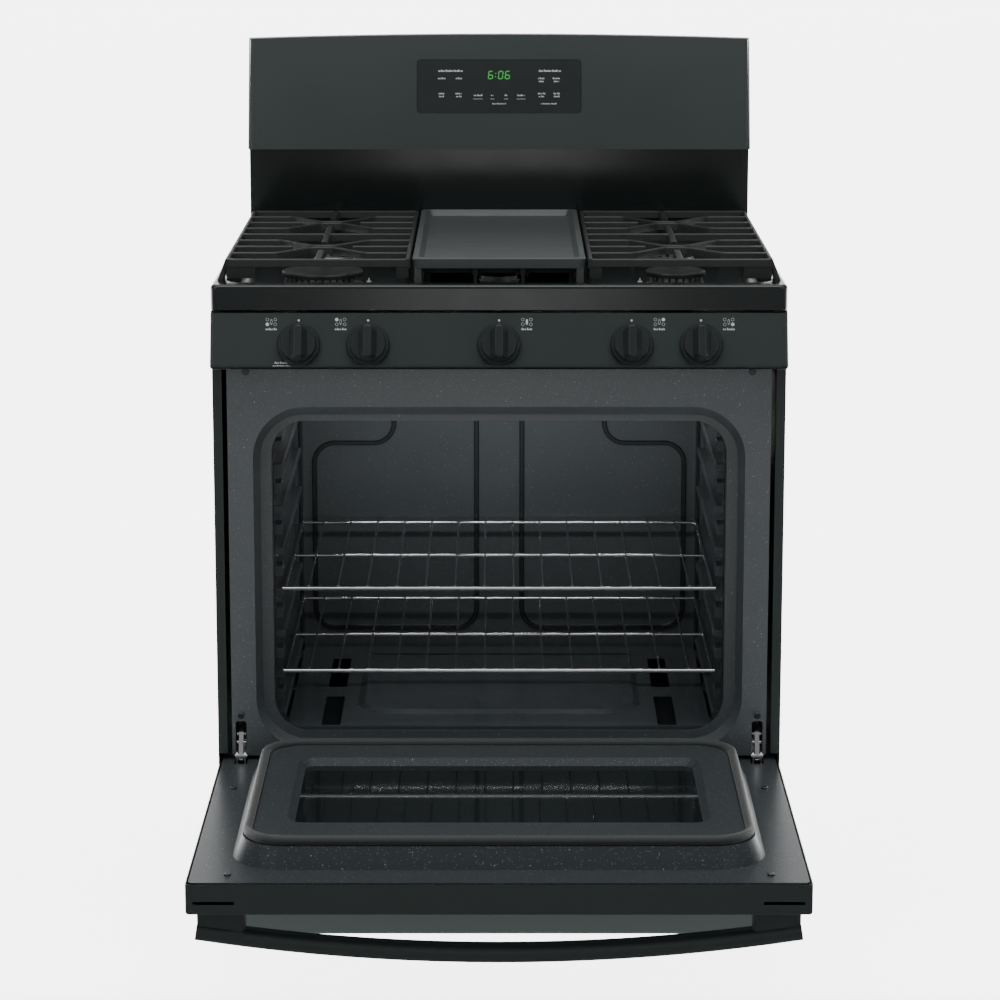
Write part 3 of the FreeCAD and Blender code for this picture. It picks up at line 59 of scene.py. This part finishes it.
class Surface:
    """A Principled material with short calls for the textures that drive it."""

    def __init__(self, name, color, roughness, metallic=0.0, specular=0.5, **fixed):
        self.material = bpy.data.materials.new(name)
        self.material.use_nodes = True
        self.tree = self.material.node_tree
        self.shader = self.tree.nodes["Principled BSDF"]
        self.shader.inputs["Base Color"].default_value = (*color, 1)
        self.shader.inputs["Roughness"].default_value = roughness
        self.shader.inputs["Metallic"].default_value = metallic
        self.shader.inputs["Specular IOR Level"].default_value = specular
        for socket, value in fixed.items():
            self.shader.inputs[socket.replace("_", " ")].default_value = value
        coordinates = self.node("ShaderNodeTexCoord")
        self.place = coordinates.outputs["Object"]
        self.color_now = None
        self.base = color
        self.normal_now = None

    def node(self, kind, **values):
        new = self.tree.nodes.new(kind)
        for key, value in values.items():
            setattr(new, key, value)
        return new

    def link(self, start, end):
        self.tree.links.new(start, end)

    def stretched(self, scale):
        """Object coordinates scaled by a different amount along each axis."""
        mapping = self.node("ShaderNodeMapping")
        mapping.inputs["Scale"].default_value = scale
        self.link(self.place, mapping.inputs["Vector"])
        return mapping.outputs["Vector"]

    def noise(self, scale, detail=4.0, rough=0.55, place=None):
        texture = self.node("ShaderNodeTexNoise")
        texture.inputs["Scale"].default_value = scale
        texture.inputs["Detail"].default_value = detail
        texture.inputs["Roughness"].default_value = rough
        self.link(place or self.place, texture.inputs["Vector"])
        return texture.outputs["Fac"]

    def ramp(self, value, stops):
        """Maps a value to a grey level or a colour through (position, level) stops."""
        ramp = self.node("ShaderNodeValToRGB")
        elements = ramp.color_ramp.elements
        while len(elements) < len(stops):
            elements.new(0.5)
        for element, (position, level) in zip(elements, stops):
            element.position = position
            color = level if isinstance(level, tuple) else (level, level, level)
            element.color = (*color, 1)
        self.link(value, ramp.inputs["Fac"])
        return ramp.outputs["Color"]

    def specks(self, scale, size, share, place=None):
        """Small round dots, one in some of the cells of a grid: 1 in a dot and 0 outside."""
        cells = self.node("ShaderNodeTexVoronoi")
        cells.inputs["Scale"].default_value = scale
        self.link(place or self.place, cells.inputs["Vector"])
        dot = self.ramp(cells.outputs["Distance"], [(size * 0.6, 1.0), (size, 0.0)])
        split = self.node("ShaderNodeSeparateColor")
        self.link(cells.outputs["Color"], split.inputs["Color"])
        chosen = self.ramp(split.outputs["Red"], [(1 - share, 0.0), (1 - share + 0.01, 1.0)])
        both = self.node("ShaderNodeMath", operation="MULTIPLY")
        self.link(dot, both.inputs[0])
        self.link(chosen, both.inputs[1])
        return both.outputs[0]

    def tint(self, mask, color, strength=1.0):
        """Lays a second colour over the base colour where the mask is white."""
        mix = self.node("ShaderNodeMix", data_type="RGBA")
        if self.color_now is None:
            mix.inputs["A"].default_value = (*self.base, 1)
        else:
            self.link(self.color_now, mix.inputs["A"])
        mix.inputs["B"].default_value = (*color, 1)
        scaled = self.node("ShaderNodeMath", operation="MULTIPLY")
        self.link(mask, scaled.inputs[0])
        scaled.inputs[1].default_value = strength
        self.link(scaled.outputs[0], mix.inputs["Factor"])
        self.color_now = mix.outputs["Result"]
        self.link(self.color_now, self.shader.inputs["Base Color"])

    def vary_roughness(self, value, low, high):
        spread = self.node("ShaderNodeMapRange")
        self.link(value, spread.inputs["Value"])
        spread.inputs["To Min"].default_value = low
        spread.inputs["To Max"].default_value = high
        self.link(spread.outputs["Result"], self.shader.inputs["Roughness"])

    def bump(self, height, strength, distance):
        node = self.node("ShaderNodeBump")
        node.inputs["Strength"].default_value = strength
        node.inputs["Distance"].default_value = distance
        self.link(height, node.inputs["Height"])
        if self.normal_now is not None:
            self.link(self.normal_now, node.inputs["Normal"])
        self.normal_now = node.outputs["Normal"]
        self.link(self.normal_now, self.shader.inputs["Normal"])


# ---------------------------------------------------------------- materials


def slate_paint():
    """Satin dark slate paint with a faint orange peel and a fine metallic grain."""
    s = Surface("slate_paint", (0.021, 0.029, 0.028), 0.34, specular=0.4)
    s.tint(s.noise(2200, 2), (0.032, 0.041, 0.040), 0.35)
    s.vary_roughness(s.noise(9, 3), 0.31, 0.42)
    s.bump(s.noise(420, 3), 0.10, 0.0002)
    return s.material


def slate_gloss():
    s = Surface("slate_gloss", (0.010, 0.014, 0.013), 0.13, specular=0.5)
    s.tint(s.noise(1800, 2), (0.016, 0.021, 0.020), 0.3)
    s.vary_roughness(s.noise(14, 3), 0.10, 0.17)
    s.bump(s.noise(160, 3), 0.05, 0.0002)
    return s.material


def speckled_enamel(name, gloss, light):
    """Blue-grey porcelain enamel with fine pale specks."""
    s = Surface(name, (0.046 * light, 0.056 * light, 0.061 * light), 0.30, specular=gloss)
    s.tint(s.noise(480, 5, 0.75), (0.110 * light, 0.122 * light, 0.130 * light), 0.85)
    s.tint(s.noise(50, 3), (0.036, 0.046, 0.050), 0.3)
    s.tint(s.specks(430, 0.36, 0.25), (0.20, 0.22, 0.23), 0.55)
    s.tint(s.specks(210, 0.20, 0.10), (0.40, 0.43, 0.44), 0.65)
    s.vary_roughness(s.noise(800, 3), 0.24, 0.36)
    s.bump(s.noise(700, 3), 0.22, 0.0002)
    return s.material


def cavity_enamel():
    """The darker, glossier enamel inside the oven, with painted shade in near black along the pressed lines of its
    back wall.
    """
    s = Surface("cavity_enamel", (0.046, 0.056, 0.060), 0.22, specular=0.5)
    s.tint(s.noise(480, 5, 0.7), (0.085, 0.096, 0.102), 0.8)
    s.tint(s.noise(7, 3), (0.024, 0.030, 0.033), 0.5)
    s.tint(s.specks(300, 0.22, 0.10), (0.26, 0.29, 0.30), 0.5)
    # Painted shade: a mask for the pressed lines that stand just in front of the back wall, which get a near-black
    # colour.
    split = s.node("ShaderNodeSeparateXYZ")
    s.link(s.place, split.inputs["Vector"])
    lines = s.node("ShaderNodeMapRange")
    s.link(split.outputs["Y"], lines.inputs["Value"])
    lines.inputs["From Min"].default_value = CAVITY_BACK_Y - 0.0009
    lines.inputs["From Max"].default_value = CAVITY_BACK_Y - 0.0003
    lines.inputs["To Min"].default_value = 1.0
    lines.inputs["To Max"].default_value = 0.0
    near = s.node("ShaderNodeMath", operation="GREATER_THAN")
    s.link(split.outputs["Y"], near.inputs[0])
    near.inputs[1].default_value = CAVITY_BACK_Y - 0.004
    both = s.node("ShaderNodeMath", operation="MULTIPLY")
    s.link(lines.outputs["Result"], both.inputs[0])
    s.link(near.outputs[0], both.inputs[1])
    s.tint(both.outputs[0], (0.006, 0.009, 0.009), 0.92)
    s.vary_roughness(s.noise(25, 3), 0.16, 0.28)
    s.bump(s.noise(500, 3), 0.12, 0.0002)
    return s.material


def cooktop_enamel():
    s = Surface("cooktop_enamel", (0.009, 0.012, 0.012), 0.16, specular=0.5)
    s.tint(s.noise(900, 3), (0.014, 0.018, 0.018), 0.4)
    s.tint(s.specks(260, 0.10, 0.03), (0.10, 0.11, 0.11), 0.5)
    s.vary_roughness(s.noise(18, 3), 0.12, 0.21)
    s.bump(s.noise(260, 3), 0.06, 0.0002)
    return s.material


def grate_iron():
    """Matt enamel over sand-cast iron, a little greyer in random patches."""
    s = Surface("grate_iron", (0.014, 0.016, 0.016), 0.5, specular=0.4)
    s.tint(s.noise(140, 4), (0.030, 0.033, 0.033), 0.5)
    s.vary_roughness(s.noise(60, 4), 0.42, 0.6)
    s.bump(s.noise(1100, 4, 0.65), 0.35, 0.0003)
    s.bump(s.noise(220, 3), 0.15, 0.0006)
    return s.material


def griddle_iron():
    s = Surface("griddle_iron", (0.050, 0.057, 0.058), 0.42, specular=0.45)
    s.tint(s.noise(35, 4), (0.066, 0.073, 0.074), 0.5)
    s.vary_roughness(s.noise(30, 4), 0.36, 0.5)
    s.bump(s.noise(1400, 3, 0.6), 0.3, 0.0002)
    return s.material


def cap_enamel():
    s = Surface("cap_enamel", (0.012, 0.013, 0.013), 0.48, specular=0.4)
    s.tint(s.noise(90, 4), (0.024, 0.026, 0.026), 0.5)
    s.vary_roughness(s.noise(70, 4), 0.40, 0.58)
    s.bump(s.noise(1300, 3), 0.25, 0.0002)
    return s.material


def burner_aluminium():
    s = Surface("burner_aluminium", (0.52, 0.53, 0.54), 0.38, metallic=1.0)
    s.tint(s.noise(80, 4), (0.36, 0.37, 0.38), 0.5)
    s.vary_roughness(s.noise(150, 4), 0.30, 0.48)
    s.bump(s.noise(1200, 4), 0.35, 0.0002)
    return s.material


def chrome_wire():
    s = Surface("chrome_wire", (0.66, 0.67, 0.68), 0.14, metallic=1.0)
    s.tint(s.noise(40, 3), (0.55, 0.56, 0.57), 0.4)
    s.vary_roughness(s.noise(90, 3), 0.09, 0.22)
    s.bump(s.noise(500, 2), 0.05, 0.0001)
    return s.material


def bright_steel(name, color, low, high):
    """Plated or bare steel with fine drawn lines along its length."""
    s = Surface(name, color, low, metallic=1.0)
    darker = tuple(c * 0.72 for c in color)
    s.tint(s.noise(30, 4), darker, 0.5)
    s.vary_roughness(s.noise(1.0, 3, place=s.stretched((40, 700, 700))), low, high)
    s.bump(s.noise(1.0, 2, place=s.stretched((60, 900, 900))), 0.08, 0.0001)
    return s.material


def galvanized_steel():
    """Zinc-coated sheet with its frosty spangle."""
    s = Surface("galvanized_steel", (0.42, 0.44, 0.45), 0.42, metallic=1.0)
    cells = s.node("ShaderNodeTexVoronoi")
    cells.inputs["Scale"].default_value = 75
    s.link(s.place, cells.inputs["Vector"])
    split = s.node("ShaderNodeSeparateColor")
    s.link(cells.outputs["Color"], split.inputs["Color"])
    s.tint(split.outputs["Red"], (0.54, 0.56, 0.57), 0.5)
    s.vary_roughness(split.outputs["Green"], 0.34, 0.5)
    s.bump(s.noise(300, 3), 0.06, 0.0002)
    return s.material


def valve_brass():
    s = Surface("valve_brass", (0.62, 0.45, 0.20), 0.28, metallic=1.0)
    s.tint(s.noise(120, 4), (0.42, 0.28, 0.11), 0.5)
    s.vary_roughness(s.noise(200, 3), 0.2, 0.4)
    s.bump(s.noise(700, 3), 0.1, 0.0001)
    return s.material


def knob_plastic():
    s = Surface("knob_plastic", (0.012, 0.016, 0.016), 0.30, specular=0.5)
    s.tint(s.noise(1500, 2), (0.020, 0.025, 0.025), 0.4)
    s.vary_roughness(s.noise(40, 3), 0.26, 0.38)
    s.bump(s.noise(1600, 2), 0.10, 0.0001)
    return s.material


def window_glass():
    s = Surface("window_glass", (0.008, 0.011, 0.011), 0.04, specular=0.7)
    s.tint(s.noise(12, 3), (0.013, 0.017, 0.017), 0.5)
    s.vary_roughness(s.noise(6, 3), 0.02, 0.06)
    return s.material


def lamp_glass():
    s = Surface("lamp_glass", (0.55, 0.58, 0.58), 0.12, specular=0.6, Transmission_Weight=0.6)
    s.vary_roughness(s.noise(90, 3), 0.06, 0.2)
    rings = s.node("ShaderNodeTexWave", wave_type="RINGS", rings_direction="Y")
    rings.inputs["Scale"].default_value = 60
    s.link(s.place, rings.inputs["Vector"])
    s.bump(rings.outputs["Fac"], 0.2, 0.0005)
    return s.material


def gasket_braid():
    """Tightly braided glass yarn, drawn as crossing waves."""
    s = Surface("gasket_braid", (0.028, 0.034, 0.033), 0.58, specular=0.35)
    s.shader.inputs["Sheen Weight"].default_value = 0.25
    s.tint(s.noise(900, 4), (0.046, 0.053, 0.052), 0.6)
    for axis in ("X", "Y"):
        wave = s.node("ShaderNodeTexWave", wave_type="BANDS", bands_direction=axis)
        wave.inputs["Scale"].default_value = 190
        wave.inputs["Distortion"].default_value = 1.5
        wave.inputs["Detail Scale"].default_value = 3
        s.link(s.place, wave.inputs["Vector"])
        s.bump(wave.outputs["Fac"], 0.25, 0.0006)
    return s.material


def glass_wool():
    s = Surface("glass_wool", (0.62, 0.55, 0.30), 0.9, specular=0.2)
    s.tint(s.noise(160, 6, 0.7), (0.80, 0.76, 0.55), 0.8)
    s.bump(s.noise(240, 6, 0.7), 0.8, 0.003)
    return s.material


def electrode_ceramic():
    s = Surface("electrode_ceramic", (0.72, 0.70, 0.64), 0.28)
    s.tint(s.noise(300, 4), (0.55, 0.50, 0.42), 0.35)
    s.bump(s.noise(900, 3), 0.08, 0.0001)
    return s.material


def control_glass():
    s = Surface("control_glass", (0.011, 0.016, 0.0155), 0.24, specular=0.5)
    s.tint(s.noise(1600, 2), (0.018, 0.023, 0.022), 0.4)
    s.vary_roughness(s.noise(30, 3), 0.18, 0.28)
    s.bump(s.noise(1500, 2), 0.05, 0.0001)
    return s.material


def circuit_board():
    s = Surface("circuit_board", (0.02, 0.13, 0.05), 0.35)
    lines = s.node("ShaderNodeTexBrick")
    lines.inputs["Scale"].default_value = 160
    s.link(s.place, lines.inputs["Vector"])
    s.tint(lines.outputs["Fac"], (0.05, 0.24, 0.10), 0.7)
    s.bump(lines.outputs["Fac"], 0.1, 0.0001)
    return s.material


def soft_black(name, color):
    """Moulded rubber or plastic, slightly grained."""
    s = Surface(name, color, 0.6, specular=0.35)
    s.tint(s.noise(200, 3), tuple(c * 1.6 for c in color), 0.4)
    s.vary_roughness(s.noise(90, 3), 0.52, 0.68)
    s.bump(s.noise(1400, 3), 0.2, 0.0002)
    return s.material


FINISHES = {
    "slate_paint": slate_paint(),
    "slate_gloss": slate_gloss(),
    "galvanized_steel": galvanized_steel(),
    "leg_plastic": soft_black("leg_plastic", (0.02, 0.02, 0.02)),
    "speckled_enamel": speckled_enamel("speckled_enamel", 1.0, 1.0),
    "cavity_enamel": cavity_enamel(),
    "cooktop_enamel": cooktop_enamel(),
    "cap_enamel": cap_enamel(),
    "dark_screw": bright_steel("dark_screw", (0.10, 0.11, 0.115), 0.25, 0.4),
    "glass_wool": glass_wool(),
    "burner_steel": bright_steel("burner_steel", (0.32, 0.31, 0.30), 0.35, 0.5),
    "lamp_glass": lamp_glass(),
    "hinge_steel": bright_steel("hinge_steel", (0.52, 0.53, 0.54), 0.22, 0.38),
    "gasket_braid": gasket_braid(),
    "window_glass": window_glass(),
    "chrome_wire": chrome_wire(),
    "burner_aluminium": burner_aluminium(),
    "electrode_ceramic": electrode_ceramic(),
    "pipe_steel": bright_steel("pipe_steel", (0.36, 0.36, 0.37), 0.3, 0.45),
    "valve_brass": valve_brass(),
    "grate_iron": grate_iron(),
    "griddle_iron": griddle_iron(),
    "control_glass": control_glass(),
    "circuit_board": circuit_board(),
    "gland_rubber": soft_black("gland_rubber", (0.015, 0.015, 0.015)),
    "knob_plastic": knob_plastic(),
}


# The door liner has the same enamel as the frame, but duller and darker.
LINER = speckled_enamel("speckled_enamel_door", 0.08, 0.62)

for part in record["subparts"]:
    node = nodes[part["node"]]
    finish = LINER if part["node"] == "door_liner" else FINISHES[part["material_slot"]]
    node.data.materials.clear()
    node.data.materials.append(finish)


# ---------------------------------------------------------------- marks on the panels


def paint(name, color, strength=0.0):
    """Printed ink, or a lit display segment when strength is above 0."""
    s = Surface(name, color, 0.45, specular=0.3)
    s.tint(s.noise(2500, 3), tuple(c * 0.75 for c in color), 0.5)
    if strength:
        s.shader.inputs["Emission Color"].default_value = (*color, 1)
        s.shader.inputs["Emission Strength"].default_value = strength
    return s.material


INK_THICKNESS = 0.08 * MM
INK = paint("printed_ink", (0.62, 0.66, 0.65))
DIGIT = paint("lit_digit", (0.05, 0.42, 0.07), 0.45)


class Marks:
    """Flat printed marks on a leaning face. Sizes are in millimetres, u right and v up the face."""

    def __init__(self, name, origin, up, ink):
        self.name = name
        self.origin = origin
        self.right = Vector((1, 0, 0))
        self.up = up.normalized()
        self.out = self.right.cross(self.up)
        self.ink = ink
        self.mesh = bmesh.new()

    def polygon(self, points):
        """One flat mark, as thick as a layer of ink."""
        lift = INK_THICKNESS
        rings = []
        for height in (0.0, lift):
            rings.append([
                self.mesh.verts.new(
                    self.origin + self.right * (u * MM) + self.up * (v * MM) + self.out * height
                )
                for u, v in points
            ])
        low, high = rings
        self.mesh.faces.new(high)
        self.mesh.faces.new(list(reversed(low)))
        count = len(points)
        for i in range(count):
            j = (i + 1) % count
            self.mesh.faces.new((low[i], low[j], high[j], high[i]))

    def bar(self, u, v, width, height):
        half_w, half_h = width / 2, height / 2
        self.polygon([
            (u - half_w, v - half_h), (u + half_w, v - half_h),
            (u + half_w, v + half_h), (u - half_w, v + half_h),
        ])

    def dot(self, u, v, radius, squash=1.0, sides=20):
        turn = 2 * math.pi / sides
        self.polygon([
            (u + radius * math.cos(turn * k), v + radius * squash * math.sin(turn * k))
            for k in range(sides)
        ])

    def ring(self, u, v, radius, line=0.35, squash=1.0, sides=20):
        turn = 2 * math.pi / sides
        for k in range(sides):
            corners = []
            for step, r in ((k, radius), (k + 1, radius), (k + 1, radius - line), (k, radius - line)):
                a = turn * step
                corners.append((u + r * math.cos(a), v + r * squash * math.sin(a)))
            self.polygon(corners)

    def words(self, u, v, length, height, seed):
        """A row of short strokes that reads as small print from a distance and spells nothing."""
        x = u - length / 2
        k = seed
        while x < u + length / 2 - 0.6:
            wide = 0.55 + 0.45 * ((k * 7) % 3)
            tall = height * (1.0 if (k * 5) % 4 == 0 else 0.66)
            self.polygon([
                (x, v - height / 2), (x + wide, v - height / 2),
                (x + wide, v - height / 2 + tall), (x, v - height / 2 + tall),
            ])
            x += wide + 0.42 + (0.9 if (k * 3) % 7 == 0 else 0.0)
            k += 1

    def finish(self, body):
        data = bpy.data.meshes.new(self.name)
        self.mesh.to_mesh(data)
        self.mesh.free()
        data.materials.append(self.ink)
        obj = bpy.data.objects.new(self.name, data)
        bpy.context.scene.collection.objects.link(obj)
        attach(obj, body)
        return obj


def louvre_shade_sheet():
    """A dark sheet behind the rear cover's louvres, painted shade for the inside of the body that would otherwise
    let the bright stage show through. The CAD has none.
    """
    gap, middle_z, width, height = 0.6 * MM, 764 * MM, 600, 72
    place = Vector((0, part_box("rear_cover")[0].y - gap, middle_z))
    shade_sheet = Marks("louvre_shade_sheet", place, Vector((0, 0, 1)), FINISHES["gasket_braid"])
    shade_sheet.bar(0, 0, width, height)
    shade_sheet.finish("root")


def panel_marks():
    """A dot over each knob, and a plan of the five burners with one filled beside it."""
    outward = Vector(joints["knob_center_turn"]["axis"])
    knob_above_panel, print_gap = 10 * MM, 0.05 * MM
    up = Vector((0, outward.z, -outward.y))
    face = Vector(joints["knob_center_turn"]["pos_m"]) - outward * (knob_above_panel - print_gap)
    face.x = 0
    marks = Marks("panel_marks", face, up, INK)
    burners = {
        "left_front": (-1, -1), "left_rear": (-1, 1), "center": (0, 0),
        "right_rear": (1, 1), "right_front": (1, -1),
    }
    dot_up, plan_up, plan_left, plan_right = 33.0, 31.0, -36.0, 36.5
    burner_u, burner_v = 5.2, 3.2
    filled_r, empty_r, oval_filled_r, oval_empty_r, oval_squash = 2.3, 2.1, 1.5, 1.4, 2.6
    for number, (name, (side, row)) in enumerate(burners.items()):
        x = joints[f"knob_{name}_turn"]["pos_m"][0] / MM
        marks.dot(x, dot_up, 1.5)
        plan = x + (plan_left if side < 0 else plan_right)
        for i in (-1, 1):
            for j in (-1, 1):
                here = (plan + burner_u * i, plan_up + burner_v * j)
                if (i, j) == (side, row):
                    marks.dot(*here, filled_r)
                else:
                    marks.ring(*here, empty_r)
        if side == 0:
            marks.dot(plan, plan_up, oval_filled_r, squash=oval_squash)
        else:
            marks.ring(plan, plan_up, oval_empty_r, squash=oval_squash)
        marks.words(plan, plan_up - 9.5, 15, 3.0, number + 1)
    note = joints["knob_left_front_turn"]["pos_m"][0] / MM - 22
    marks.words(note, -23.5, 19, 2.6, 3)
    marks.words(note, -27.5, 23, 1.8, 5)
    return marks.finish("root")


# The lit bars of each digit on the clock: a is the top bar, b to f go clockwise and g is the middle.
SEGMENTS = {"0": "abcdef", "6": "acdefg"}


def console_marks():
    """The clock's green digits and the printed keys of the touch panel."""
    low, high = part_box("control_glass")
    pane, print_gap = 3.0 * MM, 0.02 * MM
    drop = pane * math.sin(CONSOLE_LEAN)
    up = Vector((0, math.sin(CONSOLE_LEAN), math.cos(CONSOLE_LEAN)))
    out = Vector((1, 0, 0)).cross(up)
    height = (high.z - low.z - drop) / math.cos(CONSOLE_LEAN)
    face = Vector((0, low.y, low.z + drop)) + up * (height / 2) + out * print_gap
    digits = Marks("clock_digits", face, up, DIGIT)
    digit_h, digit_w, line, slant = 11.0, 6.0, 1.35, 0.09
    clock_up, end_gap, joint_gap = 17.0, 0.7, 0.3
    half = digit_h / 2

    def segment(u, name):
        """One bar of a seven-bar digit, drawn with a slight slant."""
        across = {"a": half, "g": 0.0, "d": -half}
        if name in across:
            v = across[name]
            corners = (u - digit_w / 2 + end_gap, v - line / 2, u + digit_w / 2 - end_gap, v + line / 2)
        else:
            side = digit_w / 2 if name in "bc" else -digit_w / 2
            top = name in "bf"
            v0, v1 = (0.5, half - joint_gap) if top else (-half + joint_gap, -0.5)
            corners = (u + side - line / 2, v0, u + side + line / 2, v1)
        u0, v0, u1, v1 = corners
        points = [(u0, v0), (u1, v0), (u1, v1), (u0, v1)]
        digits.polygon([(a + slant * b, b + clock_up) for a, b in points])

    for offset, figure in ((-12.5, "6"), (2.2, "0"), (12.2, "6")):
        for name in SEGMENTS[figure]:
            segment(offset, name)
    colon_u, colon_r = -5.2, 0.8
    for v in (-2.3, 2.3):
        digits.dot(colon_u + slant * v, clock_up + v, colon_r)
    digits.finish("root")

    keys = Marks("key_marks", face, up, INK)
    number = 1
    for u, v, length in ((-71, 23.5, 36), (74, 23.5, 32)):
        keys.words(u, v, length, 3.2, number)
        number += 2
    for v, second_line in ((11.0, False), (-11.5, True)):
        for u in (-84, -59, 62, 84):
            keys.words(u, v + 1.2, 9 + number % 3, 2.6, number)
            if second_line or u > 0:
                keys.words(u, v - 3.2, 8, 2.4, number + 3)
            number += 1
    for u, length in ((-31, 12), (-10, 4), (10, 4), (32, 11)):
        keys.words(u, -13.0, length, 2.6, number)
        keys.bar(u, -18.6, length + 2, 0.5)
        number += 1
    keys.words(0, -25.5, 20, 2.0, 4)
    keys.words(72, -25.5, 22, 2.0, 6)
    return keys.finish("root")


# ---------------------------------------------------------------- stage, lights and camera


def stage_piece(name, line, material, half_width=14.0):
    """A wide smooth strip of the floor or the wall behind, along a line of (y, z) points."""
    data = bpy.data.meshes.new(name)
    mesh = bmesh.new()
    rows = [(mesh.verts.new((-half_width, y, z)), mesh.verts.new((half_width, y, z))) for y, z in line]
    for (a, b), (c, d) in zip(rows, rows[1:]):
        mesh.faces.new((a, b, d, c)).smooth = True
    mesh.to_mesh(data)
    mesh.free()
    data.materials.append(material)
    obj = bpy.data.objects.new(name, data)
    bpy.context.scene.collection.objects.link(obj)
    return obj


def stage():
    """A pale seamless floor with a wall that curves up well behind the range."""
    front, back, join, bend, top, steps = -9.0, 5.0, 0.15, 2.5, 9.0, 12
    line = [(join, 0.0), (back - bend, 0.0)]
    for k in range(1, steps + 1):
        a = math.pi / 2 * k / steps
        line.append((back - bend + bend * math.sin(a), bend - bend * math.cos(a)))
    line.append((back, top))
    s = pale_floor()
    stage_piece("wall", line, s.material)
    floor = stage_piece("floor", [(front, 0.0), (join, 0.0)], s.material)
    # The lit floor would show as a bright band in the drawer front.
    floor.visible_glossy = False


def pale_floor():
    """Pale matt floor that glows white behind the range and fades out high up and in front."""
    lit_from_y, lit_full_y, strength = -0.8, -0.45, 5.0
    full_to_z, dark_from_z = 1.1, 1.5
    s = Surface("pale_floor", (0.84, 0.84, 0.84), 0.75, specular=0.15)
    s.tint(s.noise(3, 3), (0.80, 0.80, 0.80), 0.5)
    s.bump(s.noise(60, 3), 0.03, 0.001)
    split = s.node("ShaderNodeSeparateXYZ")
    s.link(s.place, split.inputs["Vector"])
    lit = s.node("ShaderNodeMapRange", interpolation_type="SMOOTHSTEP")
    s.link(split.outputs["Y"], lit.inputs["Value"])
    lit.inputs["From Min"].default_value = lit_from_y
    lit.inputs["From Max"].default_value = lit_full_y
    lit.inputs["To Min"].default_value = 0.0
    lit.inputs["To Max"].default_value = strength
    faded = s.node("ShaderNodeMapRange", interpolation_type="SMOOTHSTEP")
    s.link(split.outputs["Z"], faded.inputs["Value"])
    faded.inputs["From Min"].default_value = full_to_z
    faded.inputs["From Max"].default_value = dark_from_z
    faded.inputs["To Min"].default_value = 1.0
    faded.inputs["To Max"].default_value = 0.0
    glow = s.node("ShaderNodeMath", operation="MULTIPLY")
    s.link(lit.outputs["Result"], glow.inputs[0])
    s.link(faded.outputs["Result"], glow.inputs[1])
    s.shader.inputs["Emission Color"].default_value = (1, 1, 1, 1)
    s.link(glow.outputs[0], s.shader.inputs["Emission Strength"])
    return s


def area_light(name, place, target, size, power):
    """A white rectangular light, in watts, that faces its target."""
    data = bpy.data.lights.new(name, "AREA")
    data.shape = "RECTANGLE"
    data.size, data.size_y = size
    data.energy = power
    obj = bpy.data.objects.new(name, data)
    obj.location = place
    obj.rotation_euler = (Vector(target) - Vector(place)).to_track_quat("-Z", "Y").to_euler()
    bpy.context.scene.collection.objects.link(obj)


def lights():
    world = bpy.data.worlds.new("studio")
    world.use_nodes = True
    background = world.node_tree.nodes["Background"]
    background.inputs["Color"].default_value = (1.0, 1.0, 1.0, 1)
    background.inputs["Strength"].default_value = 0.25
    bpy.context.scene.world = world
    area_light("key", (-2.6, -3.2, 2.6), (0, 0, 0.7), (2.6, 2.0), 20)
    area_light("fill", (2.8, -3.2, 2.4), (0, 0, 0.7), (2.4, 2.0), 15)
    area_light("top", (0, -0.9, 3.3), (0, -0.3, 0.6), (3.0, 1.8), 62)
    area_light("front_card", (0, -4.2, 0.40), (0, 0, 0.5), (0.6, 0.78), 2.2)
    area_light("cavity_glow", (0, -0.06, 0.751), (0, 0.19, 0.52), (0.46, 0.02), 1.05)


def camera():
    """The view that the range is shown in: level across, tipped down onto the cooktop."""
    side, distance, height, pitch, focal = 0.0012, 4.436, 1.551, 11.79, 122.5
    data = bpy.data.cameras.new("camera")
    data.sensor_width = 36
    data.lens = focal
    data.clip_start, data.clip_end = 0.1, 60
    obj = bpy.data.objects.new("camera", data)
    obj.location = (side, FRONT_Y - distance, height)
    obj.rotation_euler = (math.radians(90 - pitch), 0, 0)
    bpy.context.scene.collection.objects.link(obj)
    bpy.context.scene.camera = obj


stage()
lights()
camera()
louvre_shade_sheet()
panel_marks()
console_marks()
